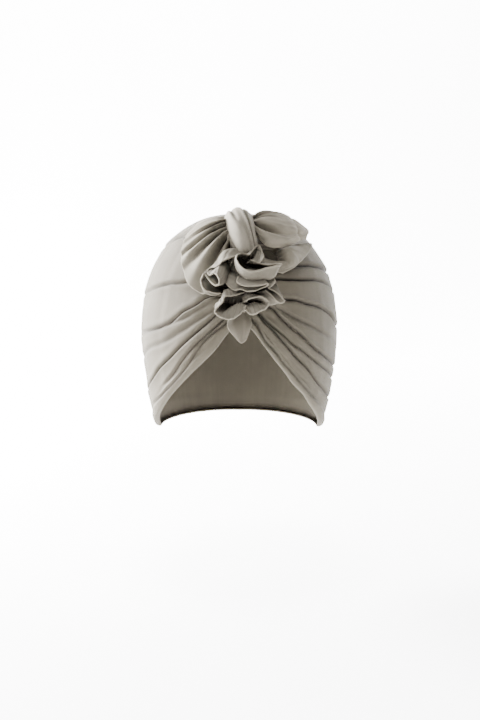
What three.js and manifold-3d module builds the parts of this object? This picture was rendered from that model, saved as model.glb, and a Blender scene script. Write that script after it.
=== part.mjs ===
// A turban headwrap: a jersey cap stretched over the head and gathered at the front,
// with a knot, three lobes of a bow, a ruffled strip in two tiers and a pointed tail.
// Millimetres, +Z up, the face towards -Y. The origin is where the top of the head touches the cap.
import * as THREE from 'three';
import { mergeVertices } from 'three/addons/utils/BufferGeometryUtils.js';
import Module from 'manifold-3d';

const wasm = await Module();
wasm.setup();

// The head that the cap is stretched over
const HEAD_HALF_WIDTH = 75.5;
const HEAD_FRONT = 92;
const HEAD_BACK = 94;
const DOME_RISE = 93; // from the widest level up to the top of the head
const SIDE_DROP = 77; // from the widest level down to the lowest point of the rim
const ROUNDNESS = 2.3; // exponent of the dome's curve, 2 is an ellipse

// The cap's cloth
const CLOTH = 2; // doubled jersey
const FOLD_RISE = 3.4; // how far a full fold stands out from the head
const CREASE = 5; // from a fold's line to the crest beside it
const HEM_TURN = 5; // how far the rim turns in towards the head

// The trimmings at the front
const TRIM_CLOTH = 1.2;
const SEAT_GAP = 0.3;
const KNOT_WIDTH = 22;
const KNOT_LENGTH = 56;
const KNOT_STAND = 24;
const BOW_REACH = 56;
const BOW_STAND = 24;
const RUFFLE_REACH = 32;
const RUFFLE_DROP = 50;
const RUFFLE_STAND = 30;
const TAIL_LENGTH = 24;

// Fold lines from the top of the cap down, each the whole way round. The levels are shares of
// the cap's height at the middle of the front, left and right at 45 and 90 degrees, and the back.
// The fullness of the cloth just over and just under the line is a share of FOLD_RISE.
const FOLDS = [
  { front: 0.07, left: 0.085, leftSide: 0.17, back: 0.235, rightSide: 0.18, right: 0.1,
    overLeft: 0.55, underLeft: 0.1, overRight: 0.3, underRight: 0.2 },
  { front: 0.235, left: 0.18, leftSide: 0.265, back: 0.365, rightSide: 0.28, right: 0.206,
    overLeft: 0.3, underLeft: 0.3, overRight: 0.85, underRight: 0.2 },
  { front: 0.262, left: 0.28, leftSide: 0.375, back: 0.48, rightSide: 0.365, right: 0.268,
    overLeft: 0.6, underLeft: 0.2, overRight: 0.6, underRight: 0.3 },
  { front: 0.294, left: 0.45, leftSide: 0.57, back: 0.61, rightSide: 0.54, right: 0.368,
    overLeft: 0.45, underLeft: 0.3, overRight: 0.7, underRight: 0.25 },
  { front: 0.318, left: 0.525, leftSide: 0.675, back: 0.715, rightSide: 0.71, right: 0.545,
    overLeft: 0.4, underLeft: 0.4, overRight: 0.45, underRight: 0.9 },
  { front: 0.341, left: 0.618, leftSide: 0.83, back: 0.81, rightSide: 0.78, right: 0.603,
    overLeft: 0.5, underLeft: 0.95, overRight: 0.6, underRight: 0.6 },
  { front: 0.365, left: 0.685, leftSide: 0.895, back: 0.88, rightSide: 0.87, right: 0.668,
    overLeft: 0.6, underLeft: 0.7, overRight: 0.6, underRight: 0.8 },
  { front: 0.388, left: 0.73, leftSide: 0.945, back: 0.935, rightSide: 0.935, right: 0.73,
    overLeft: 0.5, underLeft: 0.6, overRight: 0.55, underRight: 0.6 },
  { front: 0.412, left: 0.775, leftSide: 1, back: 1, rightSide: 1, right: 0.79,
    overLeft: 0.45, underLeft: 0, overRight: 0.45, underRight: 0 },
];
const CAP_HEIGHT = DOME_RISE + SIDE_DROP;
const APEX = FOLDS[FOLDS.length - 1].front; // the point of the front gap
const SEAM_SLOPE = 0.75; // slope of the fold lines at the gather, as a share of their slope beside it

// Rings over the dome above the first fold line, as shares of the way to it
const TOP_RINGS = [0.4, 0.75];
const TOP_FULLNESS = 0.2;
const BAND_BELLY = 0.3; // fullness half way between two fold lines, as a share of theirs
const STEEPEST = 0.55; // most rise of a fold, as a share of the way to the next line
const FRONT_COLUMNS = 30; // over the front 240 degrees
const BACK_COLUMNS = 7;
const FRONT_ARC = 120;
const SHALLOW_BACK = 0.2; // fullness left at the middle of the back

// How much the head narrows from the widest level down to the rim's lowest point
const SIDE_TAPER = 0.15;
const FRONT_TAPER = 0.14;
const BACK_TAPER = 0.24;

const radians = THREE.MathUtils.degToRad;
const lerp = THREE.MathUtils.lerp;

// A point of the head at an azimuth, 0 at the front and growing to the right, at a height and grown outwards
function headPoint(azimuth, z, out) {
  const angle = radians(azimuth);
  const facingFront = Math.cos(angle) > 0;
  let round = 1;
  let side = 1;
  let depth = 1;
  let height = z;
  const above = z + DOME_RISE;
  if (above > 0) {
    const share = Math.min(1, above / DOME_RISE);
    round = Math.pow(Math.max(0, 1 - Math.pow(share, ROUNDNESS)), 1 / ROUNDNESS);
    height = z + out * share;
  } else {
    const drop = Math.pow(-above / SIDE_DROP, 1.5);
    side = 1 - SIDE_TAPER * drop;
    depth = 1 - (facingFront ? FRONT_TAPER : BACK_TAPER) * drop;
  }
  const halfWidth = (HEAD_HALF_WIDTH * side + out) * round;
  const halfDepth = ((facingFront ? HEAD_FRONT : HEAD_BACK) * depth + out) * round;
  return new THREE.Vector3(halfWidth * Math.sin(angle), -halfDepth * Math.cos(angle), height);
}

// The level of a fold line at an azimuth: a smooth curve through its named levels, with a kink at the gather
function foldLevel(fold, azimuth) {
  const right = azimuth >= 0;
  const around = Math.abs(azimuth);
  const knots = [0, 45, 90, 180];
  const levels = right
    ? [fold.front, fold.right, fold.rightSide, fold.back]
    : [fold.front, fold.left, fold.leftSide, fold.back];
  const chords = [0, 1, 2].map((i) => (levels[i + 1] - levels[i]) / (knots[i + 1] - knots[i]));
  const between = (a, b) => (a * b > 0 ? (2 * a * b) / (a + b) : 0);
  const slopes = [SEAM_SLOPE * chords[0], between(chords[0], chords[1]), between(chords[1], chords[2]), 0];
  const i = around < 45 ? 0 : around < 90 ? 1 : 2;
  const span = knots[i + 1] - knots[i];
  const t = (around - knots[i]) / span;
  return (
    levels[i] * (2 * t ** 3 - 3 * t ** 2 + 1) +
    levels[i + 1] * (3 * t ** 2 - 2 * t ** 3) +
    slopes[i] * span * (t ** 3 - 2 * t ** 2 + t) +
    slopes[i + 1] * span * (t ** 3 - t ** 2)
  );
}

// How much of the folds' fullness is left at an azimuth, fading over the back
function fullness(azimuth) {
  const t = THREE.MathUtils.smoothstep(Math.abs(azimuth), 85, 165);
  return lerp(1, SHALLOW_BACK, t);
}

// Left and right fullness, blended over the gather
function sided(left, right, azimuth) {
  return lerp(left, right, THREE.MathUtils.smoothstep(azimuth, -12, 12));
}

// The rows of the cap at one azimuth: level and how far out the cloth is pushed
function capRows(azimuth) {
  const levels = FOLDS.map((fold) => foldLevel(fold, azimuth));
  const fade = fullness(azimuth);
  const rows = [];
  for (const share of TOP_RINGS) {
    const bow = Math.sin(share * Math.PI * 0.5);
    rows.push({ level: levels[0] * bow * bow * share, out: TOP_FULLNESS * FOLD_RISE * fade });
  }
  FOLDS.forEach((fold, k) => {
    if (k === 0) {
      const over = sided(fold.overLeft, fold.overRight, azimuth);
      rows.push({ level: levels[0] * 0.88, out: over * FOLD_RISE * fade });
    } else {
      const upper = FOLDS[k - 1];
      const under = sided(upper.underLeft, upper.underRight, azimuth);
      const over = sided(fold.overLeft, fold.overRight, azimuth);
      const band = (levels[k] - levels[k - 1]) * CAP_HEIGHT;
      const most = Math.min(FOLD_RISE, band * STEEPEST) * fade;
      const crest = Math.min(CREASE, band * 0.28) / CAP_HEIGHT;
      rows.push({ level: levels[k - 1] + crest, out: under * most });
      rows.push({ level: (levels[k - 1] + levels[k]) / 2, out: BAND_BELLY * (under + over) * most });
      rows.push({ level: levels[k] - crest, out: over * most });
    }
    rows.push({ level: levels[k], out: 0 });
  });
  rows[rows.length - 1].out = -HEM_TURN * THREE.MathUtils.smoothstep(Math.abs(azimuth), 60, 85);
  return rows;
}

function azimuths() {
  const list = [];
  for (let i = 0; i < FRONT_COLUMNS; i++) list.push(lerp(-FRONT_ARC, FRONT_ARC, i / FRONT_COLUMNS));
  const rest = 360 - 2 * FRONT_ARC;
  for (let i = 0; i < BACK_COLUMNS; i++) {
    const azimuth = FRONT_ARC + (rest * i) / BACK_COLUMNS;
    list.push(azimuth > 180 ? azimuth - 360 : azimuth);
  }
  return list;
}

// The cap's surface as columns of points from the top down, moved outwards
function capColumns(out) {
  return azimuths().map((azimuth) =>
    capRows(azimuth).map((row) => headPoint(azimuth, -row.level * CAP_HEIGHT, row.out + out)),
  );
}

function geometryFrom(points, triangles) {
  const geometry = new THREE.BufferGeometry();
  geometry.setAttribute('position', new THREE.Float32BufferAttribute(points.flatMap((p) => p.toArray()), 3));
  geometry.setIndex(triangles);
  return geometry;
}

function solidFrom(geometry) {
  const bare = geometry.clone();
  bare.deleteAttribute('normal');
  bare.deleteAttribute('uv');
  const merged = mergeVertices(bare, 1e-4);
  return new wasm.Manifold(
    new wasm.Mesh({
      numProp: 3,
      vertProperties: merged.attributes.position.array,
      triVerts: new Uint32Array(merged.index.array),
    }),
  );
}

function geometryOf(solid) {
  const mesh = solid.getMesh();
  const geometry = new THREE.BufferGeometry();
  geometry.setAttribute('position', new THREE.BufferAttribute(mesh.vertProperties, 3));
  geometry.setIndex(new THREE.BufferAttribute(mesh.triVerts, 1));
  return geometry;
}

// One skin of the cap: a fan at the top and quads down to the rim
function capSkin(columns, top, points, triangles, facingOut) {
  const start = points.length;
  points.push(top);
  for (const column of columns) points.push(...column);
  const rows = columns[0].length;
  const at = (i, j) => start + 1 + (i % columns.length) * rows + j;
  const face = (a, b, c) => triangles.push(...(facingOut ? [a, b, c] : [a, c, b]));
  for (let i = 0; i < columns.length; i++) {
    face(start, at(i, 0), at(i + 1, 0));
    for (let j = 0; j < rows - 1; j++) {
      face(at(i, j), at(i, j + 1), at(i + 1, j + 1));
      face(at(i, j), at(i + 1, j + 1), at(i + 1, j));
    }
  }
  return at;
}

function makeCap() {
  const points = [];
  const triangles = [];
  const outer = capColumns(CLOTH);
  const inner = capColumns(0);
  const outerAt = capSkin(outer, new THREE.Vector3(0, 0, CLOTH), points, triangles, true);
  const innerAt = capSkin(inner, new THREE.Vector3(0, 0, 0), points, triangles, false);
  const last = outer[0].length - 1;
  for (let i = 0; i < outer.length; i++) {
    triangles.push(outerAt(i, last), innerAt(i, last), innerAt(i + 1, last));
    triangles.push(outerAt(i, last), innerAt(i + 1, last), outerAt(i + 1, last));
  }
  return geometryFrom(points, triangles);
}

// The cap filled in and grown by the seat's gap, which trims what lies on it
function makeCapBlock() {
  const points = [];
  const triangles = [];
  const skin = capColumns(CLOTH + SEAT_GAP);
  const at = capSkin(skin, new THREE.Vector3(0, 0, CLOTH + SEAT_GAP), points, triangles, true);
  const last = skin[0].length - 1;
  const middle = points.length;
  points.push(new THREE.Vector3(0, 0, -DOME_RISE));
  for (let i = 0; i < skin.length; i++) triangles.push(middle, at(i + 1, last), at(i, last));
  return solidFrom(geometryFrom(points, triangles));
}

// How far the cap's plain surface is from the middle of the head, straight out of a tilted plane
const LEAN = radians(50); // the knot's place on the dome, above the horizontal
const OUTWARD = new THREE.Vector3(0, -Math.cos(LEAN), Math.sin(LEAN));
const DOWNWARD = new THREE.Vector3(0, -Math.sin(LEAN), -Math.cos(LEAN));
const MIDDLE = new THREE.Vector3(0, 0, -DOME_RISE);

function insideCap(p) {
  if (p.z >= CLOTH) return false;
  const edge = headPoint(p.y < 0 ? 0 : 180, p.z, CLOTH);
  const side = headPoint(90, p.z, CLOTH);
  return (p.x / side.x) ** 2 + (p.y / edge.y) ** 2 < 1;
}

// A point over the dome: across and down the front from the knot's place, and out from the cap
function onDome(across, down, out) {
  const base = MIDDLE.clone().addScaledVector(DOWNWARD, down * BOW_REACH);
  base.x += across * BOW_REACH;
  let low = 0;
  let high = 2 * HEAD_BACK;
  for (let i = 0; i < 40; i++) {
    const half = (low + high) / 2;
    if (insideCap(base.clone().addScaledVector(OUTWARD, half))) low = half;
    else high = half;
  }
  return base.addScaledVector(OUTWARD, low + out * BOW_STAND);
}

// A point in front of the gather: across, up from the point of the front gap, and out from the cap
function onGather(across, up, out) {
  const z = -APEX * CAP_HEIGHT + up * RUFFLE_DROP;
  const front = headPoint(0, z, CLOTH).y;
  return new THREE.Vector3(across * RUFFLE_REACH, front - out * RUFFLE_STAND, z);
}

// A smooth grid through a table's rows of points: each row is a fold, its points go from root to edge
function loft(rows, along, between) {
  const folds = rows.map((row) => new THREE.CatmullRomCurve3(row).getPoints(along));
  const columns = [];
  for (let j = 0; j <= along; j++) {
    const curve = new THREE.CatmullRomCurve3(folds.map((fold) => fold[j]));
    columns.push(curve.getPoints(between * (rows.length - 1)));
  }
  return columns;
}

// Cloth of a thickness about a grid of points, grown all round for trimming
function clothOn(grid, thickness, grow) {
  const rows = grid.length;
  const cols = grid[0].length;
  const pts = grid.map((row) => row.map((p) => p.clone()));
  const away = (p, q) => p.clone().sub(q).setLength(grow);
  if (grow > 0) {
    for (let j = 0; j < cols; j++) {
      pts[0][j].add(away(grid[0][j], grid[1][j]));
      pts[rows - 1][j].add(away(grid[rows - 1][j], grid[rows - 2][j]));
    }
    for (let i = 0; i < rows; i++) {
      pts[i][0].add(away(grid[i][0], grid[i][1]));
      pts[i][cols - 1].add(away(grid[i][cols - 1], grid[i][cols - 2]));
    }
  }
  const clamp = (value, most) => Math.max(0, Math.min(most, value));
  const normals = pts.map((row, i) =>
    row.map((p, j) => {
      const u = pts[clamp(i + 1, rows - 1)][j].clone().sub(pts[clamp(i - 1, rows - 1)][j]);
      const v = pts[i][clamp(j + 1, cols - 1)].clone().sub(pts[i][clamp(j - 1, cols - 1)]);
      return u.cross(v).normalize();
    }),
  );
  const half = thickness / 2 + grow;
  const points = [];
  for (const side of [1, -1]) {
    for (let i = 0; i < rows; i++) {
      for (let j = 0; j < cols; j++) points.push(pts[i][j].clone().addScaledVector(normals[i][j], side * half));
    }
  }
  const triangles = [];
  const at = (side, i, j) => side * rows * cols + i * cols + j;
  for (let i = 0; i < rows - 1; i++) {
    for (let j = 0; j < cols - 1; j++) {
      triangles.push(at(0, i, j), at(0, i + 1, j), at(0, i + 1, j + 1));
      triangles.push(at(0, i, j), at(0, i + 1, j + 1), at(0, i, j + 1));
      triangles.push(at(1, i, j), at(1, i + 1, j + 1), at(1, i + 1, j));
      triangles.push(at(1, i, j), at(1, i, j + 1), at(1, i + 1, j + 1));
    }
  }
  const rim = (a, b) => {
    const [i0, j0] = a;
    const [i1, j1] = b;
    triangles.push(at(0, i0, j0), at(0, i1, j1), at(1, i1, j1));
    triangles.push(at(0, i0, j0), at(1, i1, j1), at(1, i0, j0));
  };
  for (let j = 0; j < cols - 1; j++) {
    rim([0, j], [0, j + 1]);
    rim([rows - 1, j + 1], [rows - 1, j]);
  }
  for (let i = 0; i < rows - 1; i++) {
    rim([i + 1, 0], [i, 0]);
    rim([i, cols - 1], [i + 1, cols - 1]);
  }
  return solidFrom(geometryFrom(points, triangles));
}

// Sections of the knot from its top end down the front. The place and shift are shares of its length
// and width, the half width of its width, and the height of how far it stands out.
const KNOT_SECTIONS = [
  { down: -0.56, shift: -0.04, half: 0.28, height: 0.36 },
  { down: -0.5, shift: -0.04, half: 0.46, height: 0.78 },
  { down: -0.36, shift: -0.02, half: 0.55, height: 1.0 },
  { down: -0.14, shift: 0.05, half: 0.56, height: 1.02 },
  { down: 0.06, shift: 0.13, half: 0.51, height: 0.98 },
  { down: 0.22, shift: 0.22, half: 0.43, height: 0.88 },
  { down: 0.35, shift: 0.29, half: 0.34, height: 0.72 },
  { down: 0.42, shift: 0.31, half: 0.22, height: 0.46 },
];
// Creases of the knot, by the angle round it at its top and bottom end, in degrees from its right
const KNOT_CREASES = [
  { top: 150, bottom: 142, depth: 0.05 },
  { top: 108, bottom: 62, depth: 0.06 },
  { top: 92, bottom: 38, depth: 0.13 },
  { top: 34, bottom: 30, depth: 0.1 },
];
const CREASE_ANGLE = 10;
const KNOT_ROUND = 0.74; // power of the section's curve, 1 is an ellipse and less is fuller
const KNOT_SIDES = 28;
const KNOT_STEPS = 2;

function makeKnot(grow) {
  const curves = [];
  for (let s = 0; s < KNOT_SIDES; s++) {
    const angle = (360 * s) / KNOT_SIDES;
    const line = KNOT_SECTIONS.map((section, k) => {
      const share = k / (KNOT_SECTIONS.length - 1);
      let full = 1;
      for (const crease of KNOT_CREASES) {
        const off = (angle - lerp(crease.top, crease.bottom, share)) / CREASE_ANGLE;
        full -= crease.depth * Math.exp(-off * off);
      }
      const round = (value) => Math.sign(value) * Math.abs(value) ** KNOT_ROUND;
      const sideways = round(Math.cos(radians(angle)));
      const upwards = round(Math.sin(radians(angle)));
      const across = section.shift * KNOT_WIDTH + sideways * (section.half * KNOT_WIDTH * full + grow);
      const height = upwards * (section.height * KNOT_STAND * full + grow);
      const p = onDome(across / BOW_REACH, (section.down * KNOT_LENGTH) / BOW_REACH, 0);
      return p.addScaledVector(OUTWARD, Math.max(height, -4 * CLOTH));
    });
    curves.push(new THREE.CatmullRomCurve3(line).getPoints(KNOT_STEPS * (KNOT_SECTIONS.length - 1)));
  }
  const points = curves.flat();
  const rows = curves[0].length;
  const triangles = [];
  const at = (s, j) => (s % KNOT_SIDES) * rows + j;
  for (let s = 0; s < KNOT_SIDES; s++) {
    for (let j = 0; j < rows - 1; j++) {
      triangles.push(at(s, j), at(s + 1, j + 1), at(s, j + 1));
      triangles.push(at(s, j), at(s + 1, j), at(s + 1, j + 1));
    }
  }
  for (const end of [0, rows - 1]) {
    const centre = new THREE.Vector3();
    for (const curve of curves) centre.addScaledVector(curve[end], 1 / KNOT_SIDES);
    points.push(centre.addScaledVector(DOWNWARD, end ? grow : -grow));
    for (let s = 0; s < KNOT_SIDES; s++) {
      const pair = end ? [at(s, end), at(s + 1, end)] : [at(s + 1, end), at(s, end)];
      triangles.push(points.length - 1, ...pair);
    }
  }
  return solidFrom(geometryFrom(points, triangles));
}

// Lobes of the bow. Each row is a fold line from the knot to the free edge with its start, two points
// on the way and its end as across, down and out, in shares of BOW_REACH, BOW_REACH and BOW_STAND.
const BOW_LEFT = [
  { start: [-0.07, -0.48, 0.3], near: [-0.25, -0.52, 0.5], far: [-0.49, -0.62, 0.42], end: [-0.68, -0.6, 0.16] },
  { start: [-0.08, -0.33, 0.34], near: [-0.27, -0.32, 0.42], far: [-0.5, -0.31, 0.34], end: [-0.74, -0.26, 0.24] },
  { start: [-0.08, -0.31, 0.62], near: [-0.26, -0.21, 0.82], far: [-0.49, -0.15, 0.8], end: [-0.74, -0.12, 0.58] },
  { start: [-0.08, -0.28, 0.5], near: [-0.27, -0.21, 0.5], far: [-0.49, -0.11, 0.66], end: [-0.75, -0.06, 0.52] },
  { start: [-0.08, -0.24, 0.66], near: [-0.26, -0.15, 0.78], far: [-0.5, -0.05, 0.72], end: [-0.77, 0.01, 0.52] },
  { start: [-0.08, -0.19, 0.4], near: [-0.28, -0.12, 0.4], far: [-0.5, 0, 0.44], end: [-0.77, 0.09, 0.42] },
  { start: [-0.08, -0.15, 0.64], near: [-0.27, -0.05, 0.7], far: [-0.51, 0.08, 0.66], end: [-0.77, 0.2, 0.5] },
  { start: [-0.08, -0.13, 0.36], near: [-0.27, -0.03, 0.34], far: [-0.5, 0.15, 0.4], end: [-0.73, 0.34, 0.4] },
  { start: [-0.08, -0.09, 0.64], near: [-0.23, 0.03, 0.68], far: [-0.43, 0.28, 0.62], end: [-0.66, 0.57, 0.46] },
  { start: [-0.07, -0.08, 0.36], near: [-0.19, 0.05, 0.26], far: [-0.33, 0.36, 0.26], end: [-0.5, 0.7, 0.32] },
  { start: [-0.06, -0.03, 0.58], near: [-0.15, 0.1, 0.56], far: [-0.26, 0.4, 0.48], end: [-0.42, 0.72, 0.34] },
  { start: [-0.05, 0.02, 0.34], near: [-0.12, 0.15, 0.24], far: [-0.19, 0.4, 0.22], end: [-0.32, 0.7, 0.24] },
  { start: [-0.01, 0.08, 0.42], near: [-0.06, 0.22, 0.4], far: [-0.12, 0.44, 0.34], end: [-0.24, 0.66, 0.22] },
];
const BOW_RIGHT_UPPER = [
  { start: [0.16, -0.36, 0.62], near: [0.31, -0.41, 0.9], far: [0.62, -0.5, 0.93], end: [0.94, -0.49, 0.87] },
  { start: [0.16, -0.34, 0.42], near: [0.32, -0.37, 0.48], far: [0.63, -0.43, 0.74], end: [0.95, -0.46, 0.83] },
  { start: [0.16, -0.26, 0.64], near: [0.34, -0.25, 0.86], far: [0.64, -0.24, 0.92], end: [0.95, -0.4, 0.87] },
  { start: [0.17, -0.25, 0.58], near: [0.36, -0.18, 0.78], far: [0.65, -0.15, 0.9], end: [0.94, -0.36, 0.86] },
  { start: [0.17, -0.24, 0.48], near: [0.33, -0.11, 0.52], far: [0.63, -0.05, 0.76], end: [0.93, -0.32, 0.83] },
  { start: [0.18, -0.18, 0.62], near: [0.33, 0.01, 0.74], far: [0.64, 0.02, 0.8], end: [0.92, -0.3, 0.82] },
  { start: [0.2, -0.1, 0.48], near: [0.38, 0.14, 0.56], far: [0.64, 0.05, 0.62], end: [0.91, -0.25, 0.78] },
];
const BOW_RIGHT_LOWER = [
  { start: [0.16, 0.02, 0.2], near: [0.42, -0.02, 0.2], far: [0.72, -0.12, 0.42], end: [1, -0.3, 0.68] },
  { start: [0.16, 0.13, 0.14], near: [0.44, 0.1, 0.1], far: [0.64, 0.12, 0.58], end: [0.93, -0.08, 0.54] },
  { start: [0.17, 0.18, 0.16], near: [0.46, 0.15, 0.12], far: [0.67, 0.18, 0.6], end: [0.88, 0.02, 0.47] },
  { start: [0.17, 0.23, 0.2], near: [0.48, 0.21, 0.18], far: [0.7, 0.24, 0.56], end: [0.81, 0.14, 0.42] },
  { start: [0.18, 0.28, 0.22], near: [0.48, 0.28, 0.28], far: [0.67, 0.3, 0.46], end: [0.74, 0.26, 0.38] },
  { start: [0.18, 0.33, 0.22], near: [0.42, 0.35, 0.26], far: [0.56, 0.36, 0.34], end: [0.66, 0.34, 0.34] },
  { start: [0.18, 0.38, 0.2], near: [0.34, 0.42, 0.24], far: [0.47, 0.42, 0.28], end: [0.58, 0.41, 0.31] },
];
const LOBE_STEPS = 5;
const FOLD_STEPS = 2;

function makeLobe(table, grow) {
  const rows = table.map((fold) => [fold.start, fold.near, fold.far, fold.end].map((place) => onDome(...place)));
  return clothOn(loft(rows, LOBE_STEPS, FOLD_STEPS), TRIM_CLOTH, grow);
}

// Ruffles. Each row is a turn of the strip's free edge as across, up and out, in shares of
// RUFFLE_REACH, RUFFLE_DROP and RUFFLE_STAND, and how far the cloth behind it swells to the side
// and up. The root runs down the gather between two heights.
const RUFFLE_LEFT = {
  rootTop: 1.0,
  rootBottom: 0.48,
  turns: [
    { across: 0.06, up: 1.02, out: 0.68, side: 0, lift: 0.06 },
    { across: -0.18, up: 0.97, out: 0.86, side: -0.03, lift: 0.1 },
    { across: -0.38, up: 0.93, out: 0.85, side: -0.05, lift: 0.1 },
    { across: -0.53, up: 0.84, out: 0.62, side: -0.04, lift: 0.07 },
    { across: -0.67, up: 0.78, out: 0.42, side: 0, lift: 0.02 },
    { across: -0.63, up: 0.69, out: 0.56, side: 0, lift: 0.03 },
    { across: -0.54, up: 0.72, out: 0.68, side: 0, lift: 0.08 },
    { across: -0.47, up: 0.67, out: 0.76, side: 0, lift: 0.06 },
    { across: -0.45, up: 0.6, out: 0.78, side: 0, lift: 0 },
    { across: -0.5, up: 0.55, out: 0.74, side: 0, lift: -0.05 },
    { across: -0.73, up: 0.66, out: 0.48, side: 0, lift: 0 },
    { across: -0.81, up: 0.71, out: 0.44, side: -0.02, lift: 0.03 },
    { across: -0.87, up: 0.65, out: 0.38, side: -0.06, lift: 0.02 },
    { across: -0.86, up: 0.56, out: 0.36, side: -0.06, lift: 0 },
    { across: -0.73, up: 0.45, out: 0.4, side: 0, lift: -0.04 },
    { across: -0.56, up: 0.42, out: 0.46, side: 0, lift: -0.04 },
    { across: -0.32, up: 0.45, out: 0.5, side: 0, lift: 0 },
  ],
};
const RUFFLE_RIGHT = {
  rootTop: 0.9,
  rootBottom: 0.58,
  turns: [
    { across: 0.28, up: 0.89, out: 0.8, side: 0, lift: -0.02 },
    { across: 0.48, up: 0.87, out: 0.86, side: 0.02, lift: 0.04 },
    { across: 0.56, up: 0.94, out: 0.9, side: 0.08, lift: 0.08 },
    { across: 0.42, up: 0.99, out: 0.88, side: 0.04, lift: 0.08 },
    { across: 0.2, up: 1.02, out: 0.88, side: 0, lift: 0.06 },
    { across: 0.02, up: 1.03, out: 0.98, side: 0, lift: 0.03 },
    { across: -0.06, up: 0.94, out: 1.08, side: -0.03, lift: 0 },
    { across: -0.02, up: 0.86, out: 1.13, side: -0.02, lift: -0.06 },
    { across: 0.12, up: 0.79, out: 1.16, side: 0, lift: -0.08 },
    { across: 0.34, up: 0.76, out: 1.17, side: 0.02, lift: -0.1 },
    { across: 0.6, up: 0.78, out: 1.16, side: 0.04, lift: -0.1 },
    { across: 0.8, up: 0.83, out: 1.11, side: 0.08, lift: -0.1 },
    { across: 0.94, up: 0.87, out: 1.02, side: 0.12, lift: -0.03 },
    { across: 0.95, up: 0.8, out: 0.95, side: 0.12, lift: 0 },
    { across: 0.9, up: 0.7, out: 0.89, side: 0.08, lift: -0.02 },
    { across: 0.76, up: 0.63, out: 0.82, side: 0.02, lift: -0.02 },
  ],
};
const RUFFLE_MIDDLE = {
  rootTop: 0.74,
  rootBottom: 0.5,
  turns: [
    { across: -0.3, up: 0.58, out: 0.56, side: 0, lift: 0.04 },
    { across: -0.2, up: 0.52, out: 0.72, side: 0, lift: 0.05 },
    { across: -0.05, up: 0.48, out: 0.8, side: 0, lift: 0.05 },
    { across: 0.08, up: 0.53, out: 0.88, side: 0, lift: 0.06 },
    { across: 0.22, up: 0.5, out: 0.92, side: 0, lift: 0.06 },
    { across: 0.36, up: 0.48, out: 0.94, side: 0, lift: 0.06 },
    { across: 0.52, up: 0.52, out: 0.92, side: 0, lift: 0.06 },
    { across: 0.7, up: 0.57, out: 0.86, side: 0.04, lift: 0.05 },
    { across: 0.83, up: 0.61, out: 0.78, side: 0.06, lift: 0.04 },
    { across: 0.93, up: 0.49, out: 0.62, side: 0.06, lift: 0 },
    { across: 1.04, up: 0.33, out: 0.42, side: 0, lift: 0 },
    { across: 0.96, up: 0.29, out: 0.36, side: 0, lift: 0 },
    { across: 0.8, up: 0.35, out: 0.36, side: 0, lift: 0 },
    { across: 0.67, up: 0.47, out: 0.42, side: 0, lift: 0 },
    { across: 0.6, up: 0.54, out: 0.5, side: 0, lift: 0 },
  ],
};
const RUFFLE_LOW_LEFT = {
  rootTop: 0.42,
  rootBottom: 0.14,
  turns: [
    { across: 0.18, up: 0.49, out: 0.5, side: 0, lift: 0.05 },
    { across: 0.06, up: 0.43, out: 0.7, side: 0, lift: 0.06 },
    { across: -0.12, up: 0.41, out: 0.76, side: 0, lift: 0.08 },
    { across: -0.28, up: 0.4, out: 0.78, side: -0.08, lift: 0.1 },
    { across: -0.34, up: 0.34, out: 0.78, side: -0.16, lift: 0.1 },
    { across: -0.37, up: 0.26, out: 0.78, side: -0.2, lift: 0.08 },
    { across: -0.48, up: 0.22, out: 0.74, side: -0.14, lift: 0.02 },
    { across: -0.54, up: 0.17, out: 0.72, side: -0.06, lift: 0.02 },
    { across: -0.46, up: 0.12, out: 0.74, side: 0, lift: 0.04 },
    { across: -0.28, up: 0.09, out: 0.77, side: 0.02, lift: 0.08 },
    { across: -0.1, up: 0.11, out: 0.79, side: 0.04, lift: 0.1 },
    { across: 0.03, up: 0.17, out: 0.78, side: 0.02, lift: 0.1 },
    { across: 0.12, up: 0.25, out: 0.76, side: 0, lift: 0.08 },
    { across: 0.16, up: 0.31, out: 0.7, side: 0, lift: 0.05 },
  ],
};
const RUFFLE_LOW_RIGHT = {
  rootTop: 0.34,
  rootBottom: 0.16,
  turns: [
    { across: 0.1, up: 0.33, out: 0.62, side: 0, lift: 0.05 },
    { across: 0.22, up: 0.37, out: 0.7, side: 0, lift: 0.07 },
    { across: 0.36, up: 0.41, out: 0.76, side: 0, lift: 0.06 },
    { across: 0.52, up: 0.4, out: 0.76, side: 0.05, lift: 0.05 },
    { across: 0.66, up: 0.35, out: 0.73, side: 0.06, lift: 0.02 },
    { across: 0.69, up: 0.28, out: 0.7, side: 0.04, lift: 0.03 },
    { across: 0.58, up: 0.21, out: 0.7, side: 0, lift: 0.06 },
    { across: 0.4, up: 0.16, out: 0.72, side: 0, lift: 0.08 },
    { across: 0.26, up: 0.12, out: 0.68, side: 0, lift: 0.06 },
    { across: 0.2, up: 0.18, out: 0.6, side: 0, lift: 0.02 },
  ],
};
const ROOT_OUT = 0.12;
const ROOT_SPREAD = 0.2; // how far the root spreads to the side of its free edge
const ROOT_BEND = 2;
const HALF_WAY = 0.55;
const BELLY = 0.1; // how far the cloth bellies out half way from root to edge
const RUFFLE_STEPS = 4;
const TURN_STEPS = 1;

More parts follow.
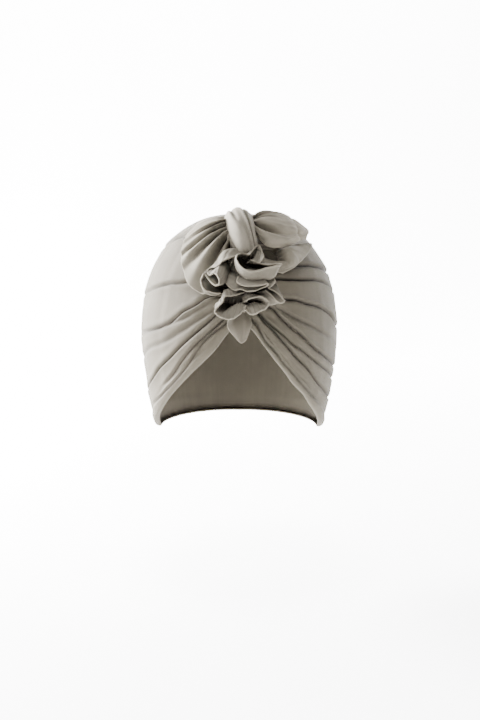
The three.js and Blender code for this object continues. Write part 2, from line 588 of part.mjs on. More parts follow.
function makeRuffle(strip, grow) {
  const last = strip.turns.length - 1;
  const rows = strip.turns.map((turn, k) => {
    const rootUp = lerp(strip.rootTop, strip.rootBottom, k / last);
    const rootAcross = ROOT_SPREAD * Math.tanh(ROOT_BEND * turn.across);
    const root = onGather(rootAcross, rootUp, ROOT_OUT);
    const edge = onGather(turn.across, turn.up, turn.out);
    const halfWay = onGather(
      lerp(rootAcross, turn.across, HALF_WAY) + turn.side,
      lerp(rootUp, turn.up, HALF_WAY) + turn.lift,
      lerp(ROOT_OUT, turn.out, HALF_WAY) + BELLY,
    );
    return [root, halfWay, edge];
  });
  return clothOn(loft(rows, RUFFLE_STEPS, TURN_STEPS), TRIM_CLOTH, grow);
}

// The gathered cloth behind a tier of ruffles, which its strips are sewn to
const GATHER_WIDTH = 0.3;
const GATHER_STAND = 0.3;
const GATHER_OUT = 0.05;
const GATHER_SIDES = 16;
const GATHER_ROWS = 12;
const UPPER_GATHER = { top: 1.0, bottom: 0.42 };
const LOWER_GATHER = { top: 0.46, bottom: 0.02 };

function makeGather({ top, bottom }, grow) {
  const ball = new THREE.SphereGeometry(1, GATHER_SIDES, GATHER_ROWS);
  const centre = onGather(0, (top + bottom) / 2, GATHER_OUT);
  const high = ((top - bottom) / 2) * RUFFLE_DROP + grow;
  ball.scale(GATHER_WIDTH * RUFFLE_REACH + grow, GATHER_STAND * RUFFLE_STAND + grow, high);
  ball.translate(centre.x, centre.y, centre.z);
  return solidFrom(ball);
}

function makeUpperTier(grow) {
  return makeGather(UPPER_GATHER, grow)
    .add(makeRuffle(RUFFLE_LEFT, grow))
    .add(makeRuffle(RUFFLE_RIGHT, grow))
    .add(makeRuffle(RUFFLE_MIDDLE, grow));
}

function makeLowerTier(grow) {
  return makeGather(LOWER_GATHER, grow).add(makeRuffle(RUFFLE_LOW_LEFT, grow)).add(makeRuffle(RUFFLE_LOW_RIGHT, grow));
}

// The pointed tail below the ruffles. Each row runs down it: across and down from the point of the
// front gap in shares of its own length, and out in shares of RUFFLE_STAND.
const TAIL = [
  { start: [-0.2, -0.3, 0.14], middle: [-0.33, 0.14, 0.26], end: [-0.01, 0.58, 0.24] },
  { start: [-0.08, -0.3, 0.22], middle: [-0.14, 0.12, 0.31], end: [0.06, 0.63, 0.25] },
  { start: [0.08, -0.3, 0.22], middle: [0.1, 0.1, 0.28], end: [0.1, 0.63, 0.25] },
  { start: [0.2, -0.3, 0.22], middle: [0.26, 0.08, 0.31], end: [0.15, 0.6, 0.25] },
  { start: [0.28, -0.3, 0.2], middle: [0.37, 0.04, 0.27], end: [0.22, 0.52, 0.25] },
];
function makeTail(grow) {
  const place = ([across, down, out]) =>
    onGather((across * TAIL_LENGTH) / RUFFLE_REACH, (-down * TAIL_LENGTH) / RUFFLE_DROP, out);
  const rows = TAIL.map((fold) => [fold.start, fold.middle, fold.end].map(place));
  return clothOn(loft(rows, LOBE_STEPS, FOLD_STEPS), TRIM_CLOTH, grow);
}

// A cut piece without its crumbs, and with the pockets filled that its crossing sheets close off
const CRUMB = 5; // cubic millimetres
function whole(solid) {
  return wasm.Manifold.union(solid.decompose().filter((shell) => shell.volume() > CRUMB));
}

// Each trimming is cut back from what it lies on, so cloth rests on cloth with the seat's gap
const capBlock = makeCapBlock();
const knotBlock = makeKnot(SEAT_GAP);
const bowLeftBlock = makeLobe(BOW_LEFT, SEAT_GAP);
const bowUpperBlock = makeLobe(BOW_RIGHT_UPPER, SEAT_GAP);
const bowLowerBlock = makeLobe(BOW_RIGHT_LOWER, SEAT_GAP);
const upperTierBlock = makeUpperTier(SEAT_GAP);
const lowerTierBlock = makeLowerTier(SEAT_GAP);

const knot = makeKnot(0).subtract(capBlock);
const bowLeft = makeLobe(BOW_LEFT, 0).subtract(capBlock).subtract(knotBlock);
const bowRightUpper = makeLobe(BOW_RIGHT_UPPER, 0).subtract(capBlock).subtract(knotBlock);
const bowRightLower = makeLobe(BOW_RIGHT_LOWER, 0).subtract(capBlock).subtract(knotBlock).subtract(bowUpperBlock);
const onBow = capBlock.add(knotBlock).add(bowLeftBlock).add(bowUpperBlock).add(bowLowerBlock);
const ruffleUpper = whole(makeUpperTier(0).subtract(onBow));
const ruffleLower = whole(makeLowerTier(0).subtract(onBow).subtract(upperTierBlock));
const tail = makeTail(0).subtract(capBlock).subtract(upperTierBlock).subtract(lowerTierBlock);

// The cloth's colours, one material for each piece
const JERSEY = '#a09a8f';
const cloth = (color, roughness) => new THREE.MeshStandardMaterial({ color, roughness, metalness: 0 });

const turban = new THREE.Group();
turban.name = 'turban_headwrap';
function addPiece(name, geometry, material) {
  geometry.computeVertexNormals();
  const mesh = new THREE.Mesh(geometry, material);
  mesh.name = name;
  turban.add(mesh);
}
addPiece('crown', makeCap(), cloth(JERSEY, 0.85));
addPiece('knot', geometryOf(knot), cloth('#a29d91', 0.82));
addPiece('bow_left', geometryOf(bowLeft), cloth('#979287', 0.84));
addPiece('bow_right_upper', geometryOf(bowRightUpper), cloth('#968f83', 0.84));
addPiece('bow_right_lower', geometryOf(bowRightLower), cloth('#928c80', 0.86));
addPiece('ruffle_upper', geometryOf(ruffleUpper), cloth('#b0aa9f', 0.8));
addPiece('ruffle_lower', geometryOf(ruffleLower), cloth('#aca69b', 0.8));
addPiece('tail', geometryOf(tail), cloth('#8f887b', 0.86));

export default turban;
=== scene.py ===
import math

import bpy
import numpy as np
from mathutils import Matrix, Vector


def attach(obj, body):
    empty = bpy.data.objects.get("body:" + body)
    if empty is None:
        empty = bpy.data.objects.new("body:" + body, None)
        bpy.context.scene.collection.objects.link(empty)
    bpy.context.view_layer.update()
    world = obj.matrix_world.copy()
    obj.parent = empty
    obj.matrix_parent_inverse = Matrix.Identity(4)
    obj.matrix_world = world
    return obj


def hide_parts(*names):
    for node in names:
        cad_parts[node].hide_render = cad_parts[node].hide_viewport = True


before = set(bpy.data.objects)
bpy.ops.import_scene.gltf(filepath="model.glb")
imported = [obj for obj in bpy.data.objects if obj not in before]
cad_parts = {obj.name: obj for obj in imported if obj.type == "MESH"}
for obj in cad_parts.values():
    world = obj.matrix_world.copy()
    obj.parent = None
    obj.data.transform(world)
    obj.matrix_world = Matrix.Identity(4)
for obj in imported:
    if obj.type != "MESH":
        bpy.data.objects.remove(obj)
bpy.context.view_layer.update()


# Camera. It stands level with the wearer's forehead and a little above it, straight in front,
# and looks slightly down. The headwrap fills the middle of an upright picture.
CAMERA_LENS = 62.5
CAMERA_FILM = 36
CAMERA_AWAY = 1.02
CAMERA_TILT = math.radians(9.5)
LOOK_AT = Vector((0.0008, 0, -0.115))
camera_data = bpy.data.cameras.new("camera")
camera_data.lens = CAMERA_LENS
camera_data.sensor_width = CAMERA_FILM
camera = bpy.data.objects.new("camera", camera_data)
bpy.context.scene.collection.objects.link(camera)
bpy.context.scene.camera = camera
towards_camera = Vector((0, -math.cos(CAMERA_TILT), math.sin(CAMERA_TILT)))
camera.location = LOOK_AT + CAMERA_AWAY * towards_camera
camera.rotation_mode = "QUATERNION"
camera.rotation_quaternion = (LOOK_AT - camera.location).to_track_quat("-Z", "Y")


# Crown. A cap of soft doubled jersey, cut as one piece with a seam at the back and pulled tight
# over the head. All its fullness is gathered to the middle of the front, so folds run from there
# round both sides and die out over the back. The rim is turned in and falls away in front as a V.
HEAD_HALF_WIDTH = 0.0755
HEAD_FRONT = 0.092
HEAD_BACK = 0.094
DOME_RISE = 0.093
SIDE_DROP = 0.077
ROUNDNESS = 2.3
CLOTH = 0.002
CAP_HEIGHT = DOME_RISE + SIDE_DROP
SIDE_TAPER = 0.15
FRONT_TAPER = 0.14
BACK_TAPER = 0.24
TAPER_CURVE = 1.5
HEM_TURN = 0.005


def head_ring(z, out):
    """The head at heights, grown outwards: half width, front and back, and how far up the dome."""
    above = z + DOME_RISE
    share = np.clip(above / DOME_RISE, 0, 1)
    round_in = np.clip(1 - share**ROUNDNESS, 0, 1) ** (1 / ROUNDNESS)
    drop = np.clip(-above / SIDE_DROP, 0, None) ** TAPER_CURVE
    side = (HEAD_HALF_WIDTH * (1 - SIDE_TAPER * drop) + out) * round_in
    front = (HEAD_FRONT * (1 - FRONT_TAPER * drop) + out) * round_in
    back = (HEAD_BACK * (1 - BACK_TAPER * drop) + out) * round_in
    return side, front, back, share


def head_points(azimuth, z, out):
    """Points of the head at azimuths in degrees, 0 in front and growing to the right, grown outwards."""
    angle = np.radians(azimuth)
    side, front, back, share = head_ring(z, out)
    depth = np.where(np.cos(angle) > 0, front, back)
    return np.stack([side * np.sin(angle), -depth * np.cos(angle), z + out * share], -1)


def smooth_step(value, low, high):
    t = np.clip((value - low) / (high - low), 0, 1)
    return t * t * (3 - 2 * t)


def through(places, values, at):
    """A smooth curve through named values, without overshoot."""
    places, values = np.array(places, float), np.array(values, float)
    chord = np.diff(values) / np.diff(places)
    slope = np.zeros(len(values))
    same = chord[:-1] * chord[1:] > 0
    total = np.where(same, chord[:-1] + chord[1:], 1)
    slope[1:-1] = np.where(same, 2 * chord[:-1] * chord[1:] / total, 0)
    slope[0], slope[-1] = chord[0], chord[-1]
    k = np.clip(np.searchsorted(places, at, side="right") - 1, 0, len(places) - 2)
    span = places[k + 1] - places[k]
    t = np.clip((at - places[k]) / span, 0, 1)
    return (
        values[k] * (2 * t**3 - 3 * t**2 + 1)
        + values[k + 1] * (3 * t**2 - 2 * t**3)
        + slope[k] * span * (t**3 - 2 * t**2 + t)
        + slope[k + 1] * span * (t**3 - t**2)
    )


# The rim's height in millimetres below the top, by azimuth, on the left and on the right
RIM_AZIMUTH = (0, 7, 14, 20, 26, 33, 42, 51, 60, 70, 80, 90, 180)
RIM_LEFT = (69, 80, 92, 100, 107.5, 116, 126.5, 136.5, 145.5, 154, 162, 168, 170)
RIM_RIGHT = (69, 76, 88, 98.5, 108, 119, 129, 140.5, 149, 157.5, 164.5, 168.5, 170)

# Folds of the crown. Each follows azimuths (negative to the left) and millimetres below the top;
# deep is its valley and lip the roll of cloth over it (or under it, where it is negative), in
# millimetres, wide the valley's half width; start and end say how much is left at its two ends.
CROWN_FOLDS = [
    {"line": ((-44, 16), (-51, 15), (-63, 16), (-73, 19), (-82, 22.5), (-96, 27.5), (-120, 34),
              (-180, 40)),
     "deep": 1.3, "lip": 1.9, "wide": 1.6, "start": 0.5, "end": 0.15},
    {"line": ((-30, 44), (-36, 46), (-47, 48), (-56, 51), (-70, 56), (-81, 60), (-120, 74), (-180, 82)),
     "deep": 1.5, "lip": 1.6, "wide": 1.5, "start": 0.7, "end": 0.15},
    {"line": ((-4, 50), (-13, 53), (-19, 56), (-26, 62), (-32, 66), (-37, 71), (-44, 77), (-60, 84),
              (-82, 90)),
     "deep": 1.3, "lip": -1.3, "wide": 1.3, "start": 0.9, "end": 0.1},
    {"line": ((-6, 54), (-13, 56), (-22, 63), (-32, 71), (-41, 76), (-56, 83), (-80, 92), (-130, 100),
              (-180, 104)),
     "deep": 0.7, "lip": 0.9, "wide": 2.2, "start": 0.7, "end": 0.15},
    {"line": ((-8, 59), (-20, 69), (-32, 79), (-46, 90), (-62, 98), (-80, 109), (-120, 122),
              (-180, 126)),
     "deep": 1.0, "lip": 1.0, "wide": 2.6, "start": 0.4, "end": 0.15},
    {"line": ((-3, 61), (-12, 67), (-18, 74), (-25, 82), (-33, 91), (-42, 102), (-51, 111), (-60, 121),
              (-69, 129), (-84, 139), (-130, 147), (-180, 148)),
     "deep": 2.0, "lip": -1.9, "wide": 1.3, "start": 0.9, "end": 0.12},
    {"line": ((-2, 65), (-7, 69), (-14, 77), (-20, 84), (-26, 92), (-32, 101), (-38, 111), (-46, 121),
              (-56, 131)),
     "deep": 1.5, "lip": 1.4, "wide": 1.3, "start": 0.9, "end": 0.0},
    {"line": ((-5, 71), (-15, 81), (-19, 86), (-24, 95), (-29, 105), (-35, 114), (-44, 125), (-58, 138),
              (-80, 152)),
     "deep": 1.3, "lip": 1.3, "wide": 1.2, "start": 0.8, "end": 0.0},
    {"line": ((18, 36), (27, 36.5), (34, 35), (40, 34.5), (50, 35), (61, 37), (71, 39.5), (82, 43),
              (98, 46.5), (130, 46), (180, 42)),
     "deep": 1.9, "lip": 2.0, "wide": 1.4, "start": 0.7, "end": 0.15},
    {"line": ((14, 43), (25, 43), (33, 44), (41, 45), (52, 46), (61, 48), (69, 51), (80, 57), (120, 74),
              (180, 82)),
     "deep": 1.5, "lip": -1.4, "wide": 1.3, "start": 0.7, "end": 0.15},
    {"line": ((12, 53), (27, 57), (34, 58), (41, 61), (50, 64), (56, 67), (64, 72), (74, 81), (120, 97),
              (180, 104)),
     "deep": 1.8, "lip": 2.0, "wide": 1.4, "start": 0.8, "end": 0.15},
    {"line": ((6, 53), (17, 58), (22, 63), (30, 69), (36, 73), (46, 79), (60, 88), (80, 98)),
     "deep": 0.9, "lip": 0.9, "wide": 2.0, "start": 0.7, "end": 0.0},
    {"line": ((5, 56), (14, 60), (19, 63), (23, 69), (29, 76), (36, 83), (43, 91), (52, 99), (66, 109),
              (80, 117), (125, 125), (180, 126)),
     "deep": 1.7, "lip": 1.9, "wide": 1.3, "start": 0.9, "end": 0.12},
    {"line": ((3, 60), (10, 65), (14, 70), (20, 77), (26, 84), (31, 90), (36, 94), (42, 100), (51, 108),
              (61, 115), (80, 127), (110, 134)),
     "deep": 1.7, "lip": -1.5, "wide": 1.2, "start": 0.9, "end": 0.1},
    {"line": ((4, 62), (10, 66.5), (13, 71), (17, 76), (23, 85), (29, 94), (34, 101), (40, 108),
              (50, 121), (62, 132), (78, 143), (130, 148), (180, 148)),
     "deep": 1.8, "lip": -1.7, "wide": 1.3, "start": 0.9, "end": 0.12},
    {"line": ((3, 66), (9, 73), (14, 85), (20, 94), (25, 103), (30, 110), (38, 121), (50, 134),
              (64, 146)),
     "deep": 1.3, "lip": 1.2, "wide": 1.5, "start": 0.8, "end": 0.0},
]
# Azimuths over which a fold fades behind the head and flattens where it is seen edge on, and the
# shares of its length over which it rises and dies
BACK_FADE = (75, 150)
EDGE_FADE = (62, 82)
FOLD_RISES = (-0.04, 0.14)
FOLD_DIES = (0.62, 1.0)
FOLD_UNEVEN = 0.12
EDGE_FLAT = 0.45
VALLEY = {"deep": 1.45, "wide": 0.78, "wider_behind": 0.9}
ROLL_RISE = 1.15
ROLL_REACH = 5.5
OTHER_LIP = {"height": 0.3, "away": 3.4, "wide": 2.4}
# The hem's roll and the stitched line over it, in millimetres above the rim
HEM_ROLL = {"height": 0.9, "away": 3.2, "wide": 2.6}
HEM_LINE = {"height": 0.5, "away": 8, "wide": 1.6}
DEGREE_MM = 1.45
GATHER_FOLDS = 15
FINE_GATHERS = 26
GATHER_POINT = 58
GATHER_DEGREE_MM = 1.55
GATHER_RING = {"away": 16, "wide": 26}
GATHER_RISE = 0.5
SOFT_DEGREE_MM = 1.4
SOFT_RISE = 0.35
FRONT_ARC = 108
FRONT_COLUMNS = 396
BACK_COLUMNS = 40
CROWN_ROWS = 204
INSIDE_STEP = 4
HEM_ROWS = 9
HEM_RADIUS = 0.0019
BASE_RISE = 0.0016
INNER_RISE = 0.0006
CLOTH_A_DEGREE = 0.00146
INSIDE_CLOTH_MM = 0.0012


def rim_level(azimuth):
    around = np.abs(azimuth)
    left, right = through(RIM_AZIMUTH, RIM_LEFT, around), through(RIM_AZIMUTH, RIM_RIGHT, around)
    return np.where(azimuth < 0, left, right)


def wander(seed, *lengths):
    """A smooth sum of waves with mixed directions over two coordinates, from -1 to 1."""
    random = np.random.default_rng(seed)
    turns = random.uniform(0, 2 * np.pi, (len(lengths), 3))

    def wave(u, v):
        total = 0
        for length, (turn, phase, bend) in zip(lengths, turns):
            along = (u * np.cos(turn) + v * np.sin(turn)) / length
            total = total + np.sin(2 * np.pi * along + phase + 1.3 * np.sin(4 * along + bend))
        return total / len(lengths)

    return wave


def crown_relief(azimuth, level):
    """How far the cloth stands out from its plain shape, in millimetres, and a mask of painted shade in its
    creases.
    """
    relief = np.zeros_like(level)
    crease = np.zeros_like(level)
    for k, fold in enumerate(CROWN_FOLDS):
        line = np.array(fold["line"], float)
        order = np.argsort(line[:, 0])
        places, heights = line[order, 0], line[order, 1]
        inside = np.clip(azimuth, places[0], places[-1])
        centre = through(places, heights, inside)
        nearby = through(places, heights, np.clip(inside + 0.5, places[0], places[-1]))
        before = through(places, heights, np.clip(inside - 0.5, places[0], places[-1]))
        steep = (nearby - before) / DEGREE_MM
        across = (level - centre) / np.sqrt(1 + steep**2)
        length = abs(line[-1, 0] - line[0, 0])
        along = np.abs(azimuth - line[0, 0]) / length
        beyond = np.where((azimuth < places[0]) | (azimuth > places[-1]), 1.0, 0.0)
        past = np.abs(azimuth - inside)
        back = smooth_step(np.abs(azimuth), *BACK_FADE)
        kept = smooth_step(along, *FOLD_RISES) * (1 - fold["start"]) + fold["start"]
        kept = kept * ((1 - back) + back * fold["end"]) * np.exp(-((past / 5) ** 2) * beyond)
        if fold["end"] == 0:
            kept = kept * (1 - smooth_step(along, *FOLD_DIES))
        kept = kept * (1 - FOLD_UNEVEN + FOLD_UNEVEN * np.sin(along * 9 + 2.1 * k))
        edge_on = 1 - EDGE_FLAT * smooth_step(np.abs(azimuth), *EDGE_FADE)
        wide = VALLEY["wide"] * fold["wide"] * (1 + VALLEY["wider_behind"] * back)
        valley = -VALLEY["deep"] * fold["deep"] * np.exp(-((across / wide) ** 2))
        over = -np.sign(fold["lip"]) * across
        lip = abs(fold["lip"])
        roll = lip * np.exp(-np.clip(over, 0, None) / ROLL_REACH)
        roll = roll * smooth_step(over, -0.3 * wide, 2.2 * wide)
        other = OTHER_LIP["height"] * lip * np.exp(-((over + OTHER_LIP["away"]) / OTHER_LIP["wide"]) ** 2)
        relief = relief + kept * edge_on * (valley + ROLL_RISE * roll + other)
        # Painted shade: a mask that darkens the cloth's colour along each fold's valley, where shade falls.
        sharp = np.exp(-((across / (0.8 * wide)) ** 2)) + 0.35 * np.exp(-((across / (2.6 * wide)) ** 2))
        crease = crease + kept * fold["deep"] * 0.5 * sharp
    return relief, np.clip(crease, 0, 1)


def gather_relief(azimuth, level):
    """Fine gathers fanning out from the point of the front gap, in millimetres."""
    across = azimuth * GATHER_DEGREE_MM
    down = level - GATHER_POINT
    away = np.hypot(across, down * 0.9)
    bearing = np.arctan2(down, np.abs(across) + 1e-6)
    side = np.where(azimuth < 0, 1.7, 0.0)
    pleat = np.sin(bearing * GATHER_FOLDS + side) + 0.6 * np.sin(bearing * FINE_GATHERS + 2 * side)
    ring = np.exp(-((away - GATHER_RING["away"]) / GATHER_RING["wide"]) ** 2)
    return GATHER_RISE * pleat * ring * smooth_step(away, 4, 14) * smooth_step(np.abs(azimuth), 3, 9)


def crown_surface(azimuth, level, thickness, fine):
    soft = wander(7, 46, 31, 23)(azimuth * SOFT_DEGREE_MM, level)
    folds, crease = crown_relief(azimuth, level)
    relief = folds + fine * gather_relief(azimuth, level) + SOFT_RISE * soft
    near_rim = rim_level(azimuth) - level
    relief = relief * (0.35 + 0.65 * smooth_step(near_rim, 0, 7))
    hem = HEM_ROLL["height"] * np.exp(-((near_rim - HEM_ROLL["away"]) / HEM_ROLL["wide"]) ** 2)
    line = HEM_LINE["height"] * np.exp(-((near_rim - HEM_LINE["away"]) / HEM_LINE["wide"]) ** 2)
    relief = relief + (hem - line)
    relief = relief * smooth_step(level, 0, 7)
    out = BASE_RISE + relief / 1000 + thickness
    return head_points(azimuth, -level / 1000, out), crease


azimuths = np.concatenate([
    np.linspace(-FRONT_ARC, FRONT_ARC, FRONT_COLUMNS, endpoint=False),
    np.linspace(FRONT_ARC, 360 - FRONT_ARC, BACK_COLUMNS, endpoint=False),
])
azimuths = np.where(azimuths > 180, azimuths - 360, azimuths)


def crown_grid(around, rows, thickness, fine):
    """Points of one skin in rows from the top down to the rim, where they are, and the painted shade of its
    creases.
    """
    share = np.linspace(0, 1, rows + 1)[1:, None]
    level = rim_level(around)[None, :] * (0.42 * (1 - np.cos(share * np.pi / 2)) + 0.58 * share**1.25)
    grid_azimuth = np.broadcast_to(around[None, :], level.shape)
    points, crease = crown_surface(grid_azimuth, level, thickness, fine)
    return points, grid_azimuth, level, crease


def surface_object(name, points, faces, cloth, crease=None):
    """A mesh object with the cloth's own coordinates, in metres, as a UV map named cloth."""
    mesh = bpy.data.meshes.new(name)
    mesh.from_pydata([tuple(p) for p in points], [], faces)
    layer = mesh.uv_layers.new(name="cloth")
    corner = np.zeros(len(mesh.loops), np.int32)
    mesh.loops.foreach_get("vertex_index", corner)
    layer.data.foreach_set("uv", np.asarray(cloth, np.float32)[corner].ravel())
    mesh.polygons.foreach_set("use_smooth", [True] * len(mesh.polygons))
    # The crease attribute is painted shade: a mask that darkens the colour in creases and hollows.
    if crease is not None:
        depth = mesh.attributes.new("crease", "FLOAT", "POINT")
        depth.data.foreach_set("value", np.asarray(crease, np.float32).ravel())
    mesh.update()
    made = bpy.data.objects.new(name, mesh)
    bpy.context.scene.collection.objects.link(made)
    return made


def grid_faces(rows, columns, start=0, closed=False, flip=False):
    faces = []
    across = columns if closed else columns - 1
    for i in range(rows - 1):
        for j in range(across):
            k = (j + 1) % columns
            quad = (start + i * columns + j, start + (i + 1) * columns + j,
                    start + (i + 1) * columns + k, start + i * columns + k)
            faces.append(quad[::-1] if flip else quad)
    return faces


def arc_lengths(points, axis):
    step = np.linalg.norm(np.diff(points, axis=axis), axis=-1)
    pad = np.zeros_like(np.take(step, [0], axis=axis))
    return np.concatenate([pad, np.cumsum(step, axis=axis)], axis=axis)


def make_crown():
    outer, outer_azimuth, _, outer_painted_shade = crown_grid(azimuths, CROWN_ROWS, CLOTH, 1.0)
    count = len(azimuths)
    rim_outer = outer[-1]
    coarse = azimuths[::INSIDE_STEP]
    inner, inner_azimuth, inner_level, _ = crown_grid(coarse, CROWN_ROWS // INSIDE_STEP, 0.0, 0.0)
    fall = rim_outer - outer[-2]
    fall = fall / np.linalg.norm(fall, axis=-1, keepdims=True)
    middle = np.stack([np.zeros(count), np.zeros(count), rim_outer[:, 2]], -1)
    inward = middle - rim_outer
    inward = inward / np.linalg.norm(inward, axis=-1, keepdims=True)
    turn = smooth_step(np.abs(azimuths), 60, 85)[:, None] * (HEM_TURN - 2 * HEM_RADIUS)
    hem = []
    for angle in np.linspace(0, np.pi, HEM_ROWS)[1:]:
        roll = HEM_RADIUS * (np.sin(angle) * fall + (1 - np.cos(angle)) * inward)
        hem.append(rim_outer + roll + turn * inward * (angle / np.pi))
    hem = np.array(hem)
    rows = np.concatenate([outer, hem])
    top = np.array([[0, 0, CLOTH + BASE_RISE], [0, 0, INNER_RISE]])
    points = np.concatenate([top, rows.reshape(-1, 3), inner.reshape(-1, 3)])
    faces = grid_faces(len(rows), count, 2, closed=True)
    faces += [(0, 2 + j, 2 + (j + 1) % count) for j in range(count)]
    inner_start = 2 + len(rows) * count
    few = len(coarse)
    faces += grid_faces(len(inner), few, inner_start, closed=True, flip=True)
    faces += [(1, inner_start + (j + 1) % few, inner_start + j) for j in range(few)]
    last_outer = 2 + (len(rows) - 1) * count
    last_inner = inner_start + (len(inner) - 1) * few
    for j in range(few):
        low, high = last_inner + j, last_inner + (j + 1) % few
        first = j * INSIDE_STEP
        edge = [last_outer + (first + s) % count for s in range(INSIDE_STEP + 1)]
        faces += [(edge[s], low, edge[s + 1]) for s in range(INSIDE_STEP // 2)]
        faces.append((edge[INSIDE_STEP // 2], low, high))
        faces += [(edge[s], high, edge[s + 1]) for s in range(INSIDE_STEP // 2, INSIDE_STEP)]
    along = np.concatenate([outer_azimuth, np.repeat(azimuths[None, :], len(hem), 0)]) * CLOTH_A_DEGREE
    down = arc_lengths(rows, 0)
    cloth = np.concatenate([
        [[0, 0], [0, 0]],
        np.stack([along, down], -1).reshape(-1, 2),
        np.stack([inner_azimuth * CLOTH_A_DEGREE, inner_level * INSIDE_CLOTH_MM], -1).reshape(-1, 2),
    ])
    # Painted shade in the crown's creases; the hem and the inside get none.
    crease = np.concatenate([[0, 0], outer_painted_shade.ravel(), np.zeros(hem[..., 0].size + inner[..., 0].size)])
    return surface_object("crown_cloth", points, faces, cloth, crease)


crown = make_crown()


class Wire:
    """A shader socket or a plain number, with the sums that a formula needs."""

    tree = None

    def __init__(self, socket):
        self.socket = socket

    @classmethod
    def node(cls, kind, settings=None, **inputs):
        """A node of a type: first its settings, then its sockets, by name or as no and a number."""
        made = cls.tree.nodes.new(kind)
        for key, value in (settings or {}).items():
            if key == "stops":
                ramp = made.color_ramp
                while len(ramp.elements) < len(value):
                    ramp.elements.new(1.0)
                for element, (place, colour) in zip(ramp.elements, value):
                    element.position = place
                    element.color = (*colour, 1)
            else:
                setattr(made, key, value)
        for key, value in inputs.items():
            socket = made.inputs[int(key[2:]) if key[2:].isdigit() else key.replace("_", " ")]
            if isinstance(value, Wire):
                cls.tree.links.new(value.socket, socket)
            elif isinstance(value, bpy.types.NodeSocket):
                cls.tree.links.new(value, socket)
            else:
                socket.default_value = value
        return made

    @classmethod
    def math(cls, operation, *values):
        sockets = {f"no{place}": value for place, value in enumerate(values)}
        return Wire(cls.node("ShaderNodeMath", {"operation": operation}, **sockets).outputs[0])

    def __add__(self, other):
        return Wire.math("ADD", self, other)

    def __sub__(self, other):
        return Wire.math("SUBTRACT", self, other)

    def __rsub__(self, other):
        return Wire.math("SUBTRACT", other, self)

    def __mul__(self, other):
        return Wire.math("MULTIPLY", self, other)

    def __truediv__(self, other):
        return Wire.math("DIVIDE", self, other)

    def __abs__(self):
        return Wire.math("ABSOLUTE", self)

    __radd__ = __add__
    __rmul__ = __mul__


WALE = 0.00062
COURSE = 0.0005
CLOUD_SCALE = 38.0
FIBRE_SCALE = 900.0
STREAK_SCALE = (260.0, 18.0, 1.0)
# How dark the painted shade in creases makes the jersey's darker tone.
PAINTED_CREASE_SHADE = 0.36
FUZZ = 0.2


def noise(vector, scale, **inputs):
    return Wire(Wire.node("ShaderNodeTexNoise", Vector=vector, Scale=scale, **inputs).outputs["Fac"])


def jersey(name, colour, shade):
    """Soft cotton jersey: fine ribs of knitted loops, a matt face with a faint bloom, uneven dye, and
    painted shade in creases and hollows.
    """
    material = bpy.data.materials.new(name)
    material.use_nodes = True
    Wire.tree = material.node_tree
    Wire.tree.nodes.clear()
    place = Wire.node("ShaderNodeTexCoord").outputs["Object"]
    uv = Wire.node("ShaderNodeUVMap", {"uv_map": "cloth"}).outputs["UV"]
    parts = Wire.node("ShaderNodeSeparateXYZ", Vector=uv)
    sideways = Wire(parts.outputs["X"]) / WALE
    upwards = Wire(parts.outputs["Y"]) / COURSE
    rib = Wire.math("FRACT", sideways) - 0.5
    slant = abs(rib) * 1.2
    loop = Wire.math("SINE", (upwards + slant) * (2 * math.pi)) * 0.5 + 0.5
    body = 1 - abs(rib) * 2
    knit = Wire.math("POWER", Wire.math("MAXIMUM", body, 0.0), 0.6) * (loop * 0.35 + 0.65)
    cloudy = noise(place, CLOUD_SCALE, Detail=3.0, Roughness=0.55)
    fibre = noise(place, FIBRE_SCALE, Detail=2.0, Roughness=0.6)
    streak_at = Wire.node("ShaderNodeMapping", Vector=uv, Scale=STREAK_SCALE).outputs["Vector"]
    streak = noise(streak_at, 1.0, Detail=2.0)
    tone = (cloudy - 0.5) * 0.5 + (streak - 0.5) * 0.35 + (fibre - 0.5) * 0.3 + (knit - 0.6) * 0.22 + 0.5
    ramp = Wire.node("ShaderNodeValToRGB", {"stops": [(0.2, shade), (0.8, colour)]}, Fac=tone)
    # Painted shade: the crease attribute darkens the dyed colour in creases and hollows.
    crease = Wire(Wire.node("ShaderNodeAttribute", {"attribute_name": "crease"}).outputs["Fac"])
    deep = (*(channel * PAINTED_CREASE_SHADE for channel in shade), 1)
    dye_and_painted_shade = Wire.node(
        "ShaderNodeMix", {"data_type": "RGBA"}, Factor=crease * 0.85, no6=ramp.outputs["Color"], no7=deep
    )
    height = knit * 0.7 + fibre * 0.5
    bump = Wire.node("ShaderNodeBump", Height=height, Strength=0.32, Distance=0.00025)
    rough = 0.84 + (fibre - 0.5) * 0.14
    shader = Wire.node(
        "ShaderNodeBsdfPrincipled", Base_Color=dye_and_painted_shade.outputs[2], Roughness=rough,
        Normal=bump.outputs["Normal"], Specular_IOR_Level=0.16,
        Sheen_Weight=FUZZ, Sheen_Roughness=0.55, Sheen_Tint=(*colour, 1),
    )
    Wire.node("ShaderNodeOutputMaterial", Surface=shader.outputs["BSDF"])
    return material


TAUPE = (0.0695, 0.0605, 0.0445)
TAUPE_SHADE = (0.0525, 0.0455, 0.0335)


def belongs(pieces, node):
    """The pieces ride on the one body and take the place of a node of the frame."""
    for piece in pieces:
        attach(piece, "root")
        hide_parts(node)


crown.data.materials.append(jersey("crown_jersey", TAUPE, TAUPE_SHADE))
belongs([crown], "crown")


# Knot. A band of the same jersey, pulled up through the gather and turned over the front of the
# crown, where it holds the lobes of the bow. It is bunched full, with creases running slantwise
# down it.
LEAN = math.radians(50)
OUTWARD = np.array([0, -math.cos(LEAN), math.sin(LEAN)])
DOWNWARD = np.array([0, -math.sin(LEAN), -math.cos(LEAN)])
BOW_REACH = 0.056
BOW_STAND = 0.024
KNOT_WIDTH = 0.022
KNOT_LENGTH = 0.056
KNOT_STAND = 0.024
CREASE_ANGLE = 9
KNOT_ROUND = 0.74
KNOT_TUCK = 0.0035
KNOT_AROUND = 0.0004
KNOT_SIDES = 240
KNOT_ROWS = 120
SEARCH_REACH = 0.2
SEARCH_STEPS = 36
